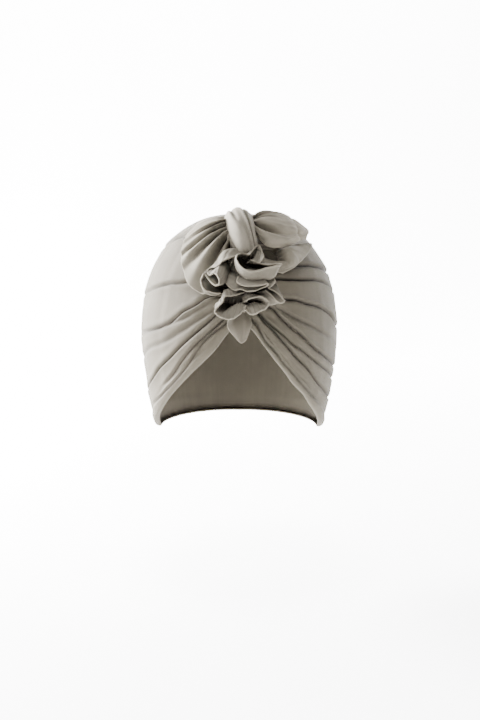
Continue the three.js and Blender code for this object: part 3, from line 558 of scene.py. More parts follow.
# Sections from the top end down the front. Columns: place along the knot's length, shift and half
# width in shares of its width, and height in shares of how far it stands out
KNOT_SECTIONS = [
    (-0.56, -0.04, 0.28, 0.36),
    (-0.5, -0.04, 0.46, 0.78),
    (-0.36, -0.02, 0.55, 1.0),
    (-0.14, 0.05, 0.56, 1.02),
    (0.06, 0.13, 0.51, 0.98),
    (0.22, 0.22, 0.43, 0.88),
    (0.35, 0.29, 0.34, 0.72),
    (0.42, 0.31, 0.22, 0.46),
]
# Creases by the angle round the knot at its top and bottom end, in degrees from its right side,
# and the shares of its length that they run from and to
KNOT_CREASES = [
    {"top": 152, "bottom": 142, "deep": 0.05, "wide": 0.5, "from": 0.05, "to": 1.2},
    {"top": 122, "bottom": 70, "deep": 0.08, "wide": 0.7, "from": 0.05, "to": 0.55},
    {"top": 108, "bottom": 62, "deep": 0.05, "wide": 0.9, "from": 0.4, "to": 1.2},
    {"top": 96, "bottom": 38, "deep": 0.16, "wide": 0.45, "from": 0.02, "to": 1.2},
    {"top": 36, "bottom": 30, "deep": 0.12, "wide": 0.45, "from": 0.02, "to": 1.2},
    {"top": 100, "bottom": 84, "deep": 0.14, "wide": 0.4, "from": 0.8, "to": 1.3},
]


def cap_distance(base, direction):
    """How far the plain cap's outside is from each base point, along a direction."""
    low = np.zeros(base.shape[:-1])
    high = np.full(base.shape[:-1], SEARCH_REACH)
    for _ in range(SEARCH_STEPS):
        half = (low + high) / 2
        x, y, z = np.moveaxis(base + half[..., None] * direction, -1, 0)
        side, front, _, _ = head_ring(z, CLOTH)
        inside = (z < CLOTH) & ((x / (side + 1e-9)) ** 2 + (y / (front + 1e-9)) ** 2 < 1)
        low = np.where(inside, half, low)
        high = np.where(inside, high, half)
    return low


def on_dome(across, down, out):
    """Points over the dome: across and down from the knot's place, and out from the cap, as shares."""
    base = np.array([0, 0, -DOME_RISE]) + np.asarray(down)[..., None] * BOW_REACH * DOWNWARD
    base = base + np.asarray(across)[..., None] * BOW_REACH * np.array([1, 0, 0])
    return base + (cap_distance(base, OUTWARD) + np.asarray(out) * BOW_STAND)[..., None] * OUTWARD


def spline(points, count):
    """A smooth curve through points along their first axis, as many as count, spaced along its length."""
    points = np.asarray(points, float)
    last = len(points) - 1
    padded = np.concatenate([2 * points[:1] - points[1:2], points, 2 * points[-1:] - points[-2:-1]])
    t = np.linspace(0, last, count)
    k = np.minimum(t.astype(int), last - 1)
    f = (t - k).reshape((-1,) + (1,) * (points.ndim - 1))
    a, b, c, d = padded[k], padded[k + 1], padded[k + 2], padded[k + 3]
    return 0.5 * (2 * b + (c - a) * f + (2 * a - 5 * b + 4 * c - d) * f**2 + (3 * b - a - 3 * c + d) * f**3)


def spread(table, rows, columns):
    """A smooth grid of points through a table, which has a row for each line from root to free edge."""
    lines = spline(np.array(table).transpose(1, 0, 2), rows)
    return spline(lines.transpose(1, 0, 2), columns).transpose(1, 0, 2)


def capped_faces(rows, sides):
    """Faces of a closed tube of rings and its two end points, which follow the rings."""
    top, bottom, last = rows * sides, rows * sides + 1, (rows - 1) * sides
    faces = grid_faces(rows, sides, 0, closed=True, flip=True)
    faces += [(top, j, (j + 1) % sides) for j in range(sides)]
    return faces + [(bottom, last + (j + 1) % sides, last + j) for j in range(sides)]


def make_knot():
    place, shift, wide, high = spline(KNOT_SECTIONS, KNOT_ROWS).T[..., None]
    angle = np.linspace(0, 360, KNOT_SIDES, endpoint=False)
    share = np.linspace(0, 1, KNOT_ROWS)[:, None]
    full = np.ones((KNOT_ROWS, KNOT_SIDES))
    knot_painted_shade = np.zeros((KNOT_ROWS, KNOT_SIDES))
    for k, crease in enumerate(KNOT_CREASES):
        centre = crease["top"] + (crease["bottom"] - crease["top"]) * share + 2 * np.sin(4 * share + k)
        off = (angle[None, :] - centre) / (CREASE_ANGLE * crease["wide"])
        kept = smooth_step(share, crease["from"], crease["from"] + 0.18)
        kept = kept * (1 - smooth_step(share, crease["to"] - 0.25, crease["to"]))
        full -= crease["deep"] * kept * (np.exp(-(off**2)) - 0.3 * np.exp(-(((off - 2.3) / 1.4) ** 2)))
        # Painted shade along the knot's creases.
        knot_painted_shade = np.maximum(knot_painted_shade, kept * crease["deep"] * 7 * np.exp(-(off**2)))
    turned = np.radians(angle)[None, :]

    def squarer(value):
        return np.sign(value) * np.abs(value) ** KNOT_ROUND

    across = shift * KNOT_WIDTH + squarer(np.cos(turned)) * (wide * KNOT_WIDTH) * full
    stand = np.maximum(squarer(np.sin(turned)) * (high * KNOT_STAND) * full, -KNOT_TUCK)
    down = np.broadcast_to(place * KNOT_LENGTH, across.shape)
    points = on_dome(across / BOW_REACH, down / BOW_REACH, stand / BOW_STAND)
    ends = [points[0].mean(0), points[-1].mean(0)]
    points = np.concatenate([points.reshape(-1, 3), ends])
    around = np.broadcast_to(angle[None, :] * KNOT_AROUND, across.shape)
    cloth = np.concatenate([np.stack([around, down], -1).reshape(-1, 2), np.zeros((2, 2))])
    depth = np.clip(np.concatenate([knot_painted_shade.ravel(), [0, 0]]), 0, 1)
    return surface_object("knot_cloth", points, capped_faces(KNOT_ROWS, KNOT_SIDES), cloth, depth)


knot = make_knot()
# The knot's jersey is lighter than the bow's: painted light for its top-lit face.
knot.data.materials.append(jersey("knot_jersey", (0.158, 0.143, 0.115), (0.117, 0.105, 0.083)))
belongs([knot], "knot")


# Bow. Three lobes of single jersey come out from under the knot: a broad one in two layers down
# the left, an upper right one that stands up as a flat loop, and a lower one tucked under it.
# Their free edges are left raw and roll a little, as cut jersey does.
TRIM_CLOTH = 0.001
LOBE_ROWS = 90
LOBE_COLUMNS = 150
EDGE_ROLL = 0.0006
EDGE_UNEVEN = 0.5
EDGE_SIDES = 8
CREASE_DEEP = 0.001
WAVE_RISE = 0.0004
# Painted shade: how much the relief's valleys darken the colour, the share of a sheet over which its root
# is darkened, and how dark a lobe's root is.
CREASE_SHADE = 1100
ROOT_FADE = (0.15, 0.85)
LOBE_SHADE = 0.15
END_FOLD = {"away": 0.77, "slant": 0.14, "wide": 0.022}
# Each row is a fold line in four points: at the knot, near it, far from it and at the free edge.
# A point is how far it is across, down and out, in shares of the bow's reach and stand
BOW_LEFT_BACK = [
    ((-0.07, -0.48, 0.3), (-0.25, -0.52, 0.5), (-0.49, -0.62, 0.42), (-0.68, -0.6, 0.16)),
    ((-0.08, -0.4, 0.32), (-0.27, -0.42, 0.5), (-0.5, -0.46, 0.4), (-0.72, -0.44, 0.2)),
    ((-0.08, -0.33, 0.34), (-0.27, -0.32, 0.42), (-0.5, -0.31, 0.34), (-0.74, -0.26, 0.24)),
    ((-0.08, -0.27, 0.34), (-0.27, -0.22, 0.34), (-0.5, -0.16, 0.34), (-0.74, -0.12, 0.3)),
]
BOW_LEFT = [
    ((-0.08, -0.31, 0.62), (-0.26, -0.21, 0.82), (-0.49, -0.15, 0.8), (-0.74, -0.12, 0.58)),
    ((-0.08, -0.28, 0.5), (-0.27, -0.21, 0.5), (-0.49, -0.11, 0.66), (-0.75, -0.06, 0.52)),
    ((-0.08, -0.24, 0.66), (-0.26, -0.15, 0.78), (-0.5, -0.05, 0.72), (-0.77, 0.01, 0.52)),
    ((-0.08, -0.19, 0.4), (-0.28, -0.12, 0.4), (-0.5, 0, 0.44), (-0.77, 0.09, 0.42)),
    ((-0.08, -0.15, 0.64), (-0.27, -0.05, 0.7), (-0.51, 0.08, 0.66), (-0.77, 0.2, 0.5)),
    ((-0.08, -0.13, 0.36), (-0.27, -0.03, 0.34), (-0.5, 0.15, 0.4), (-0.73, 0.34, 0.4)),
    ((-0.08, -0.09, 0.64), (-0.23, 0.03, 0.68), (-0.43, 0.28, 0.62), (-0.66, 0.57, 0.46)),
    ((-0.07, -0.08, 0.36), (-0.19, 0.05, 0.26), (-0.33, 0.36, 0.26), (-0.5, 0.7, 0.32)),
    ((-0.06, -0.03, 0.58), (-0.15, 0.1, 0.56), (-0.26, 0.4, 0.48), (-0.42, 0.72, 0.34)),
    ((-0.05, 0.02, 0.34), (-0.12, 0.15, 0.24), (-0.19, 0.4, 0.22), (-0.32, 0.7, 0.24)),
    ((-0.01, 0.08, 0.42), (-0.06, 0.22, 0.4), (-0.12, 0.44, 0.34), (-0.24, 0.66, 0.22)),
]
BOW_RIGHT_UPPER = [
    ((0.16, -0.36, 0.62), (0.31, -0.41, 0.9), (0.62, -0.5, 0.93), (0.94, -0.49, 0.87)),
    ((0.16, -0.35, 0.5), (0.32, -0.38, 0.8), (0.63, -0.44, 0.93), (0.95, -0.47, 0.87)),
    ((0.16, -0.31, 0.46), (0.33, -0.33, 0.76), (0.63, -0.36, 0.94), (0.95, -0.44, 0.86)),
    ((0.16, -0.26, 0.62), (0.34, -0.27, 0.82), (0.64, -0.26, 0.95), (0.95, -0.4, 0.87)),
    ((0.17, -0.25, 0.58), (0.36, -0.18, 0.78), (0.65, -0.15, 0.9), (0.94, -0.36, 0.86)),
    ((0.17, -0.24, 0.42), (0.32, -0.13, 0.42), (0.62, -0.07, 0.76), (0.93, -0.33, 0.83)),
    ((0.18, -0.18, 0.64), (0.33, 0.0, 0.8), (0.64, 0.0, 0.8), (0.92, -0.3, 0.82)),
    ((0.19, -0.14, 0.62), (0.35, 0.08, 0.76), (0.64, 0.03, 0.74), (0.92, -0.28, 0.8)),
    ((0.2, -0.1, 0.48), (0.38, 0.15, 0.56), (0.64, 0.06, 0.62), (0.91, -0.25, 0.78)),
]
BOW_RIGHT_LOWER = [
    ((0.16, 0.02, 0.2), (0.42, -0.02, 0.2), (0.72, -0.12, 0.42), (1, -0.3, 0.68)),
    ((0.16, 0.08, 0.16), (0.42, 0.05, 0.12), (0.67, 0.02, 0.5), (0.98, -0.2, 0.62)),
    ((0.16, 0.13, 0.14), (0.46, 0.1, 0.06), (0.64, 0.12, 0.66), (0.93, -0.08, 0.5)),
    ((0.17, 0.18, 0.16), (0.49, 0.15, 0.08), (0.67, 0.18, 0.68), (0.88, 0.02, 0.44)),
    ((0.17, 0.23, 0.2), (0.51, 0.21, 0.14), (0.7, 0.24, 0.62), (0.81, 0.14, 0.4)),
    ((0.18, 0.28, 0.22), (0.48, 0.28, 0.28), (0.67, 0.3, 0.46), (0.74, 0.26, 0.38)),
    ((0.18, 0.33, 0.22), (0.42, 0.35, 0.26), (0.56, 0.36, 0.34), (0.66, 0.34, 0.34)),
    ((0.18, 0.38, 0.2), (0.34, 0.42, 0.24), (0.47, 0.42, 0.28), (0.58, 0.41, 0.31)),
]


def normals_of(grid):
    u = np.gradient(grid, axis=0)
    v = np.gradient(grid, axis=1)
    normal = np.cross(u, v)
    return normal / (np.linalg.norm(normal, axis=-1, keepdims=True) + 1e-12)


def sheet_object(name, grid, relief, root_shade):
    """One sheet of cloth on a grid of points from root to free edge, pushed out by a relief in metres."""
    grid = grid + relief[..., None] * normals_of(grid)
    rows, columns = grid.shape[:2]
    down = arc_lengths(grid, 0)
    across = arc_lengths(grid, 1).mean(0, keepdims=True) + np.zeros((rows, 1))
    along = np.linspace(0, 1, rows)[:, None]
    # Painted shade: the colour is darkened in the relief's valleys and towards the root, where the cloth
    # lies in shade.
    crease = np.clip(-relief * CREASE_SHADE - 0.1, 0, 1)
    crease = np.clip(crease + root_shade * (1 - smooth_step(along, *ROOT_FADE)), 0, 1)
    cloth = np.stack([across, down], -1).reshape(-1, 2)
    made = surface_object(name, grid.reshape(-1, 3), grid_faces(rows, columns), cloth, crease)
    wall = made.modifiers.new("wall", "SOLIDIFY")
    wall.thickness = TRIM_CLOTH
    wall.offset = 0
    return made, grid


def border_of(grid):
    """The two sides and the free edge of a sheet as one path."""
    return np.concatenate([grid[:, 0], grid[-1, 1:], grid[::-1, -1][1:]])


def rolled_edge(name, path, radius):
    """The raw edge of the jersey, which rolls into a thin cord: a tube swept along a path."""
    line = bpy.data.meshes.new(name)
    line.from_pydata([tuple(p) for p in path], [(i, i + 1) for i in range(len(path) - 1)], [])
    made = bpy.data.objects.new(name, line)
    bpy.context.scene.collection.objects.link(made)
    tree = bpy.data.node_groups.new("rolled_edge", "GeometryNodeTree")
    tree.interface.new_socket("Geometry", in_out="INPUT", socket_type="NodeSocketGeometry")
    size = tree.interface.new_socket("Roll radius", in_out="INPUT", socket_type="NodeSocketFloat")
    uneven = tree.interface.new_socket("Unevenness", in_out="INPUT", socket_type="NodeSocketFloat")
    finish = tree.interface.new_socket("Finish", in_out="INPUT", socket_type="NodeSocketMaterial")
    tree.interface.new_socket("Geometry", in_out="OUTPUT", socket_type="NodeSocketGeometry")
    Wire.tree = tree
    start = Wire.node("NodeGroupInput")
    curve = Wire.node("GeometryNodeMeshToCurve", Mesh=start.outputs["Geometry"])
    lumps = Wire.node("ShaderNodeTexNoise", Scale=140.0, Detail=1.0).outputs["Fac"]
    swell = 1 + (Wire(lumps) - 0.5) * Wire(start.outputs["Unevenness"])
    ring = Wire.node("GeometryNodeCurvePrimitiveCircle", Resolution=EDGE_SIDES, Radius=1.0)
    tube = Wire.node(
        "GeometryNodeCurveToMesh", Curve=curve.outputs["Curve"], Profile_Curve=ring.outputs["Curve"],
        Scale=swell * Wire(start.outputs["Roll radius"]), Fill_Caps=True,
    )
    smooth = Wire.node("GeometryNodeSetShadeSmooth", Geometry=tube.outputs["Mesh"])
    real = Wire.node("GeometryNodeRealizeInstances", Geometry=smooth.outputs["Geometry"])
    done = Wire.node(
        "GeometryNodeSetMaterial", Geometry=real.outputs["Geometry"], Material=start.outputs["Finish"]
    )
    Wire.node("NodeGroupOutput", Geometry=done.outputs["Geometry"])
    nodes = made.modifiers.new("roll", "NODES")
    nodes.node_group = tree
    nodes[size.identifier] = radius
    nodes[uneven.identifier] = EDGE_UNEVEN
    nodes[finish.identifier] = edge_face_and_highlight
    shown = made.evaluated_get(bpy.context.evaluated_depsgraph_get())
    plain = bpy.data.meshes.new_from_object(shown)
    made.modifiers.remove(nodes)
    made.data = plain
    layer = plain.uv_layers.new(name="cloth")
    corner = np.zeros(len(plain.loops), np.int32)
    plain.loops.foreach_get("vertex_index", corner)
    place = np.zeros(len(plain.vertices) * 3)
    plain.vertices.foreach_get("co", place)
    layer.data.foreach_set("uv", place.reshape(-1, 3)[corner][:, [0, 2]].astype(np.float32).ravel())
    return made


def lobe_grid(table):
    return on_dome(*spread(table, LOBE_ROWS, LOBE_COLUMNS).transpose(2, 0, 1))


def lobe_relief(seed, pleats, end_fold):
    """Fine creases that leave the knot and die out towards the free edge, and a fold across its end."""
    random = np.random.default_rng(seed)
    along = np.linspace(0, 1, LOBE_ROWS)[:, None]
    across = np.linspace(0, 1, LOBE_COLUMNS)[None, :]
    relief = np.zeros((LOBE_ROWS, LOBE_COLUMNS))
    for _ in range(pleats):
        centre = random.uniform(0.03, 0.97)
        drift = random.uniform(-0.05, 0.05)
        wide = random.uniform(0.012, 0.03)
        reach = random.uniform(0.35, 0.95)
        deep = random.uniform(0.4, 1.0)
        off = (across - centre - drift * along) / (wide * (1 + 1.2 * along))
        relief -= deep * np.exp(-(off**2)) * (1 - smooth_step(along, 0.25 * reach, reach))
    waves = wander(seed + 50, 0.5, 0.31, 0.22)(across * 1.3, along)
    ridge = np.exp(-(((along - END_FOLD["away"] - END_FOLD["slant"] * across) / END_FOLD["wide"]) ** 2))
    return CREASE_DEEP * relief + WAVE_RISE * waves * smooth_step(along, 0.1, 0.5) + end_fold * ridge


def make_lobe(name, table, node, seed, pleats, cloth, end_fold=0.0):
    sheet, grid = sheet_object(name, lobe_grid(table), lobe_relief(seed, pleats, end_fold), LOBE_SHADE)
    sheet.data.materials.append(cloth)
    edge = rolled_edge(name + "_edge", border_of(grid), EDGE_ROLL)
    belongs([sheet, edge], node)


bow_jersey = jersey("bow_jersey", (0.115, 0.103, 0.079), (0.083, 0.074, 0.056))
# The upper lobe's jersey is a lighter copy of the bow's: painted light on its broad face.
upper_painted_light_jersey = jersey("bow_upper_painted_light_jersey", (0.158, 0.141, 0.109), (0.12, 0.107, 0.082))
# The rolled edges are lighter: partly the rolled face of the jersey, partly a painted highlight where they
# catch the light.
edge_face_and_highlight = jersey("edge_face_and_painted_highlight_jersey", (0.15, 0.134, 0.104), (0.112, 0.1, 0.077))
make_lobe("bow_left_back_cloth", BOW_LEFT_BACK, "bow_left", 10, 6, bow_jersey)
make_lobe("bow_left_cloth", BOW_LEFT, "bow_left", 11, 16, bow_jersey)
make_lobe("bow_upper_cloth", BOW_RIGHT_UPPER, "bow_right_upper", 12, 6, upper_painted_light_jersey,
          end_fold=0.0009)
make_lobe("bow_lower_cloth", BOW_RIGHT_LOWER, "bow_right_lower", 13, 8, bow_jersey)


# Ruffles. One long strip of jersey is gathered along its root and sewn down the middle of the
# front in two tiers, so its free edge stands out in deep round turns.
APEX = 0.412
RUFFLE_REACH = 0.032
RUFFLE_DROP = 0.05
RUFFLE_STAND = 0.03
ROOT_OUT = 0.12
ROOT_SPREAD = 0.2
HALF_WAY = 0.55
BELLY = 0.1
RUFFLE_ROWS = 40
TURN_STEPS = 12
# How dark the painted shade towards the ruffles' root is.
RUFFLE_SHADE = 0.55
RUFFLE_DYE = ((0.106, 0.095, 0.074), (0.077, 0.069, 0.053))
PLEAT_RISE = 0.00014
GATHER_ROWS = 48
GATHER_SIDES = 96
GATHER_SIZE = 0.3
GATHER_CREASES = 14
# Each row is a turn of the free edge. Columns: across, up and out, in shares of the ruffle's reach,
# drop and stand, and how far the cloth behind it swells to the side and up
RUFFLE_LEFT = [
    (0.04, 0.97, 0.68, 0, 0.06),
    (-0.18, 0.93, 0.86, -0.05, 0.09),
    (-0.36, 0.89, 0.85, -0.08, 0.1),
    (-0.5, 0.81, 0.72, -0.08, 0.08),
    (-0.64, 0.78, 0.56, -0.02, 0.04),
    (-0.72, 0.73, 0.54, 0, 0),
    (-0.66, 0.69, 0.7, 0, 0.03),
    (-0.56, 0.72, 0.8, 0, 0.09),
    (-0.48, 0.69, 0.88, 0, 0.08),
    (-0.44, 0.63, 0.9, 0, 0),
    (-0.45, 0.57, 0.88, 0, -0.05),
    (-0.55, 0.56, 0.8, 0, -0.05),
    (-0.67, 0.62, 0.7, 0, -0.02),
    (-0.78, 0.7, 0.62, -0.12, 0.06),
    (-0.84, 0.65, 0.62, -0.2, 0.04),
    (-0.86, 0.59, 0.62, -0.23, 0),
    (-0.81, 0.5, 0.62, -0.2, -0.06),
    (-0.72, 0.46, 0.62, -0.12, -0.09),
    (-0.59, 0.44, 0.62, 0, -0.05),
    (-0.41, 0.43, 0.6, 0, -0.02),
]
RUFFLE_RIGHT = [
    (0.26, 0.89, 0.8, 0, -0.02),
    (0.48, 0.85, 0.88, 0, 0),
    (0.7, 0.84, 0.96, 0.02, 0),
    (0.86, 0.855, 1.01, 0.06, -0.02),
    (0.96, 0.855, 1.05, 0.14, -0.1),
    (0.87, 0.835, 1.1, 0.16, -0.19),
    (0.66, 0.81, 1.14, 0.1, -0.19),
    (0.42, 0.77, 1.17, 0.02, -0.18),
    (0.2, 0.77, 1.17, 0, -0.15),
    (0.04, 0.83, 1.13, -0.02, -0.12),
    (-0.06, 0.92, 1.08, -0.04, -0.06),
    (-0.03, 0.97, 1, -0.04, 0),
    (0.1, 0.99, 0.9, 0, 0.02),
    (0.24, 0.97, 0.84, 0, 0.04),
    (0.36, 1.06, 0.78, 0, 0.06),
    (0.47, 1.08, 0.74, 0.02, 0.06),
    (0.53, 1.0, 0.8, 0.06, 0.08),
    (0.56, 0.93, 0.9, 0.08, 0.13),
    (0.47, 0.86, 0.86, 0.04, 0.04),
    (0.32, 0.86, 0.78, 0, 0),
]
RUFFLE_MIDDLE = [
    (-0.3, 0.58, 0.54, 0, 0.04),
    (-0.21, 0.52, 0.66, 0, 0.05),
    (-0.1, 0.48, 0.76, 0, 0.05),
    (0.05, 0.5, 0.82, 0, 0.05),
    (0.2, 0.48, 0.86, 0, 0.04),
    (0.36, 0.49, 0.87, 0, 0.04),
    (0.5, 0.52, 0.85, 0, 0.04),
    (0.63, 0.55, 0.85, 0, 0.05),
    (0.65, 0.59, 0.93, 0, 0.07),
    (0.5, 0.57, 1, 0, 0.08),
    (0.26, 0.56, 1.02, 0, 0.08),
    (0.07, 0.57, 0.98, 0, 0.08),
    (-0.04, 0.62, 0.86, 0, 0.08),
    (0.12, 0.72, 0.66, 0, 0.06),
    (0.4, 0.73, 0.64, 0, 0.06),
    (0.66, 0.7, 0.7, 0.02, 0.06),
    (0.82, 0.62, 0.8, 0.06, 0.06),
    (0.75, 0.55, 0.74, 0.02, 0.04),
    (0.68, 0.51, 0.68, 0.04, 0.06),
    (0.8, 0.47, 0.66, 0.14, 0.13),
    (0.92, 0.41, 0.66, 0.18, 0.12),
    (1.03, 0.33, 0.66, 0.14, 0.02),
    (0.95, 0.3, 0.67, 0.06, -0.1),
    (0.84, 0.34, 0.68, 0, -0.14),
    (0.71, 0.42, 0.68, -0.02, -0.12),
    (0.6, 0.48, 0.68, -0.02, -0.04),
]
RUFFLE_LOW_LEFT = [
    (0.16, 0.47, 0.5, 0, 0.04),
    (0.09, 0.44, 0.62, 0, 0.05),
    (-0.04, 0.42, 0.72, 0, 0.07),
    (-0.2, 0.41, 0.8, -0.04, 0.1),
    (-0.32, 0.4, 0.84, -0.08, 0.1),
    (-0.36, 0.34, 0.84, -0.1, 0.07),
    (-0.43, 0.28, 0.82, -0.12, 0.04),
    (-0.51, 0.23, 0.8, -0.14, 0.02),
    (-0.53, 0.18, 0.8, -0.04, 0),
    (-0.43, 0.12, 0.82, 0, 0.02),
    (-0.29, 0.09, 0.86, 0.02, 0.08),
    (-0.13, 0.1, 0.88, 0.04, 0.13),
    (0, 0.15, 0.88, 0.04, 0.13),
    (0.09, 0.21, 0.84, 0.02, 0.1),
    (0.16, 0.27, 0.78, 0, 0.06),
]
RUFFLE_LOW_RIGHT = [
    (0.1, 0.3, 0.62, 0, 0.05),
    (0.18, 0.34, 0.72, 0, 0.07),
    (0.29, 0.38, 0.8, 0, 0.07),
    (0.43, 0.4, 0.84, 0.04, 0.06),
    (0.58, 0.38, 0.84, 0.08, 0.03),
    (0.68, 0.32, 0.82, 0.08, 0),
    (0.64, 0.26, 0.82, 0.04, 0.04),
    (0.52, 0.21, 0.84, 0, 0.09),
    (0.35, 0.16, 0.84, 0, 0.1),
    (0.23, 0.16, 0.76, 0, 0.05),
    (0.17, 0.21, 0.66, 0, 0),
]
UPPER_STRIPS = [
    {"name": "ruffle_upper_left", "turns": RUFFLE_LEFT, "top": 1.0, "bottom": 0.48,
     "flat": (0.17, 0.025), "area": 0.0016},
    {"name": "ruffle_upper_right", "turns": RUFFLE_RIGHT, "top": 0.84, "bottom": 0.88,
     "flat": (0.17, 0.033), "area": 0.0022},
    {"name": "ruffle_upper_middle", "turns": RUFFLE_MIDDLE, "top": 0.74, "bottom": 0.5,
     "flat": (0.17, 0.027), "area": 0.0022},
]
LOWER_STRIPS = [
    {"name": "ruffle_lower_left", "turns": RUFFLE_LOW_LEFT, "top": 0.42, "bottom": 0.14,
     "flat": (0.1, 0.022), "area": 0.0011},
    {"name": "ruffle_lower_right", "turns": RUFFLE_LOW_RIGHT, "top": 0.34, "bottom": 0.16,
     "flat": (0.06, 0.02), "area": 0.00066},
]


def on_gather(across, up, out):
    """Points in front of the gather: across, up from the point of the front gap, and out from the cap."""
    z = -APEX * CAP_HEIGHT + np.asarray(up) * RUFFLE_DROP
    front = head_points(np.zeros_like(z), z, CLOTH)[..., 1]
    return np.stack([np.asarray(across) * RUFFLE_REACH, front - np.asarray(out) * RUFFLE_STAND, z], -1)


def ruffle_grid(strip):
    across, up, out, side, lift = np.array(strip["turns"]).T
    count = len(across)
    root_up = strip["top"] + (strip["bottom"] - strip["top"]) * np.linspace(0, 1, count)
    root_across = ROOT_SPREAD * np.tanh(2 * across)
    root = on_gather(root_across, root_up, np.full(count, ROOT_OUT))
    half = on_gather(
        root_across + HALF_WAY * (across - root_across) + side,
        root_up + HALF_WAY * (up - root_up) + lift,
        ROOT_OUT + HALF_WAY * (out - ROOT_OUT) + BELLY,
    )
    free = on_gather(across, up, out)
    return spread(np.stack([root, half, free], 1), RUFFLE_ROWS, TURN_STEPS * (count - 1) + 1)


def ruffle_relief(shape, seed):
    """Small pleats at the root, where the gathering thread pulls the strip together."""
    rows, columns = shape
    along = np.linspace(0, 1, rows)[:, None]
    across = np.linspace(0, 1, columns)[None, :]
    pleats = np.sin(across * columns * 0.42 + 2 * np.sin(across * 21 + seed)) * PLEAT_RISE
    soft = wander(seed, 0.4, 0.23, 0.17)(across * 3, along * 0.6) * WAVE_RISE
    return pleats * (1 - smooth_step(along, 0.0, 0.35)) + soft * smooth_step(along, 0.1, 0.6)


def make_gather(name, top, bottom, node, material):
    """The bunched cloth behind a tier, drawn up tight by the thread, with its small folds."""
    turn = np.linspace(0, np.pi, GATHER_ROWS)[:, None]
    around = np.linspace(0, 2 * np.pi, GATHER_SIDES, endpoint=False)[None, :]
    centre = on_gather(np.array(0.0), np.array((top + bottom) / 2), np.array(0.05))
    full = 1 + 0.05 * np.sin(around * GATHER_CREASES + 2 * np.sin(turn * 3)) * np.sin(turn)
    points = np.stack([
        GATHER_SIZE * RUFFLE_REACH * np.sin(turn) * np.cos(around) * full,
        -GATHER_SIZE * RUFFLE_STAND * np.sin(turn) * np.sin(around) * full,
        (top - bottom) / 2 * RUFFLE_DROP * np.cos(turn) * np.ones_like(around),
    ], -1) + centre
    points = np.concatenate([points[1:-1].reshape(-1, 3), [points[0, 0], points[-1, 0]]])
    made = surface_object(name, points, capped_faces(GATHER_ROWS - 2, GATHER_SIDES), points[:, [0, 2]])
    made.data.materials.append(material)
    belongs([made], node)


def make_tier(strips, node, seed, gather_top, gather_bottom):
    material = jersey(node + "_jersey", *RUFFLE_DYE)
    make_gather(node + "_gather", gather_top, gather_bottom, node, material)
    for k, strip in enumerate(strips):
        plain = ruffle_grid(strip)
        relief = ruffle_relief(plain.shape[:2], seed + k)
        sheet, grid = sheet_object(strip["name"], plain, relief, RUFFLE_SHADE)
        sheet.data.materials.append(material)
        edge = rolled_edge(strip["name"] + "_edge", grid[-1], EDGE_ROLL)
        belongs([sheet, edge], node)


make_tier(UPPER_STRIPS, "ruffle_upper", 21, gather_top=1.0, gather_bottom=0.42)
make_tier(LOWER_STRIPS, "ruffle_lower", 31, gather_top=0.46, gather_bottom=0.02)


# Tail. The cut end of the strip, folded to a point, hangs down over the gap in front of the
# forehead. It is held only at the top, by the same thread as the ruffles.
TAIL_LENGTH = 0.024
TAIL_ROWS = 60
TAIL_COLUMNS = 70
# How dark the painted shade towards the tail's root is.
TAIL_SHADE = 0.4
TAIL_PLEATS = 0.0003
# Each row is a line down the tail: its start, middle and end, each across, down and out
TAIL = [
    ((-0.2, -0.3, 0.14), (-0.33, 0.14, 0.26), (-0.01, 0.58, 0.24)),
    ((-0.08, -0.3, 0.22), (-0.14, 0.12, 0.31), (0.06, 0.63, 0.25)),
    ((0.08, -0.3, 0.22), (0.1, 0.1, 0.28), (0.1, 0.63, 0.25)),
    ((0.2, -0.3, 0.22), (0.26, 0.08, 0.31), (0.15, 0.6, 0.25)),
    ((0.28, -0.3, 0.2), (0.37, 0.04, 0.27), (0.22, 0.52, 0.25)),
    ((0.24, -0.3, 0.12), (0.3, 0.02, 0.18), (0.17, 0.5, 0.2)),
]


def make_tail():
    across, down, out = spread(TAIL, TAIL_ROWS, TAIL_COLUMNS).transpose(2, 0, 1)
    grid = on_gather(across * TAIL_LENGTH / RUFFLE_REACH, -down * TAIL_LENGTH / RUFFLE_DROP, out)
    along = np.linspace(0, 1, TAIL_ROWS)[:, None]
    over = np.linspace(0, 1, TAIL_COLUMNS)[None, :]
    relief = TAIL_PLEATS * np.sin(over * 17 + 1) * (1 - smooth_step(along, 0.05, 0.4))
    sheet, grid = sheet_object("tail_cloth", grid, relief, TAIL_SHADE)
    sheet.data.materials.append(jersey("tail_jersey", (0.094, 0.083, 0.064), (0.072, 0.063, 0.048)))
    edge = rolled_edge("tail_edge", border_of(grid), EDGE_ROLL * 0.9)
    belongs([sheet, edge], "tail")


make_tail()


# Floor and light. A white studio sweep, with a large soft light high on the left, a weaker one
# on the right and a bright even background.
FLOOR_LEVEL = -0.3
FLOOR_GLOW = 2.4
WALL_GLOW = 7.5
ROOM_GLOW = 0.06
ROOM_WHITE = 5.0
SWEEP_WIDE = 3
SWEEP_FRONT = -1.6
SWEEP_BACK = 1.2
SWEEP_BEND = 0.8
# Each light is its name, its place, what it points at, its two sides and its power
LIGHTS = [
    ("left_window", (-1.5, 0.75, 0.45), (0, 0, -0.08), (0.8, 0.9), 570),
    ("top_panel", (-0.1, -0.35, 1.5), (0, 0, -0.08), (0.5, 0.5), 42),
    ("front_panel", (-0.9, -1.3, 1.1), (0, 0, -0.1), (0.6, 0.6), 22),
    ("right_window", (1.3, 1.1, 0.3), (0, 0, -0.1), (0.5, 0.9), 16),
]


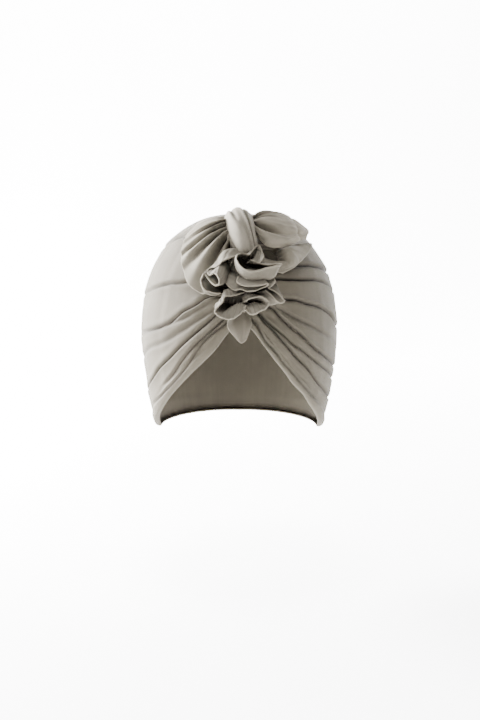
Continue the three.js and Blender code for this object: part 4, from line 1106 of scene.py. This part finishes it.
def make_sweep():
    rows = [(y, FLOOR_LEVEL) for y in np.linspace(SWEEP_FRONT, SWEEP_BACK, 10)]
    for angle in np.radians(np.linspace(0, 90, 14)[1:]):
        rise = SWEEP_BEND * (1 - math.cos(angle))
        rows.append((SWEEP_BACK + SWEEP_BEND * math.sin(angle), FLOOR_LEVEL + rise))
    rows.append((SWEEP_BACK + SWEEP_BEND, 3.0))
    columns = np.linspace(-SWEEP_WIDE, SWEEP_WIDE, 12)
    points = np.array([(x, y, z) for y, z in rows for x in columns])
    faces = grid_faces(len(rows), len(columns), flip=True)
    sweep = surface_object("studio_sweep", points, faces, points[:, :2])
    material = bpy.data.materials.new("studio_white")
    material.use_nodes = True
    Wire.tree = material.node_tree
    Wire.tree.nodes.clear()
    place = Wire.node("ShaderNodeTexCoord").outputs["Object"]
    stops = [(0.3, (0.86, 0.86, 0.86)), (0.7, (0.9, 0.9, 0.9))]
    tint = Wire.node("ShaderNodeValToRGB", {"stops": stops}, Fac=noise(place, 3.0))
    depth = Wire(Wire.node("ShaderNodeSeparateXYZ", Vector=place).outputs["Y"])
    wall = Wire.math("MINIMUM", Wire.math("MAXIMUM", depth * 0.9, 0.0), 1.0)
    glow = wall * (WALL_GLOW - FLOOR_GLOW) + FLOOR_GLOW
    shader = Wire.node(
        "ShaderNodeBsdfPrincipled", Base_Color=tint.outputs["Color"], Roughness=0.9,
        Emission_Color=tint.outputs["Color"], Emission_Strength=glow,
    )
    Wire.node("ShaderNodeOutputMaterial", Surface=shader.outputs["BSDF"])
    sweep.data.materials.append(material)


make_sweep()
for name, place, aim, sides, power in LIGHTS:
    panel = bpy.data.lights.new(name, "AREA")
    panel.shape = "RECTANGLE"
    panel.size, panel.size_y = sides
    panel.energy = power
    lamp = bpy.data.objects.new(name, panel)
    bpy.context.scene.collection.objects.link(lamp)
    lamp.location = place
    lamp.rotation_mode = "QUATERNION"
    lamp.rotation_quaternion = (Vector(aim) - Vector(place)).to_track_quat("-Z", "Y")
world = bpy.data.worlds.new("studio")
bpy.context.scene.world = world
world.use_nodes = True
Wire.tree = world.node_tree
background = Wire.tree.nodes["Background"]
background.inputs["Color"].default_value = (1, 1, 1, 1)
seen = Wire(Wire.node("ShaderNodeLightPath").outputs["Is Camera Ray"])
Wire.tree.links.new((seen * ROOM_WHITE + ROOM_GLOW).socket, background.inputs["Strength"])
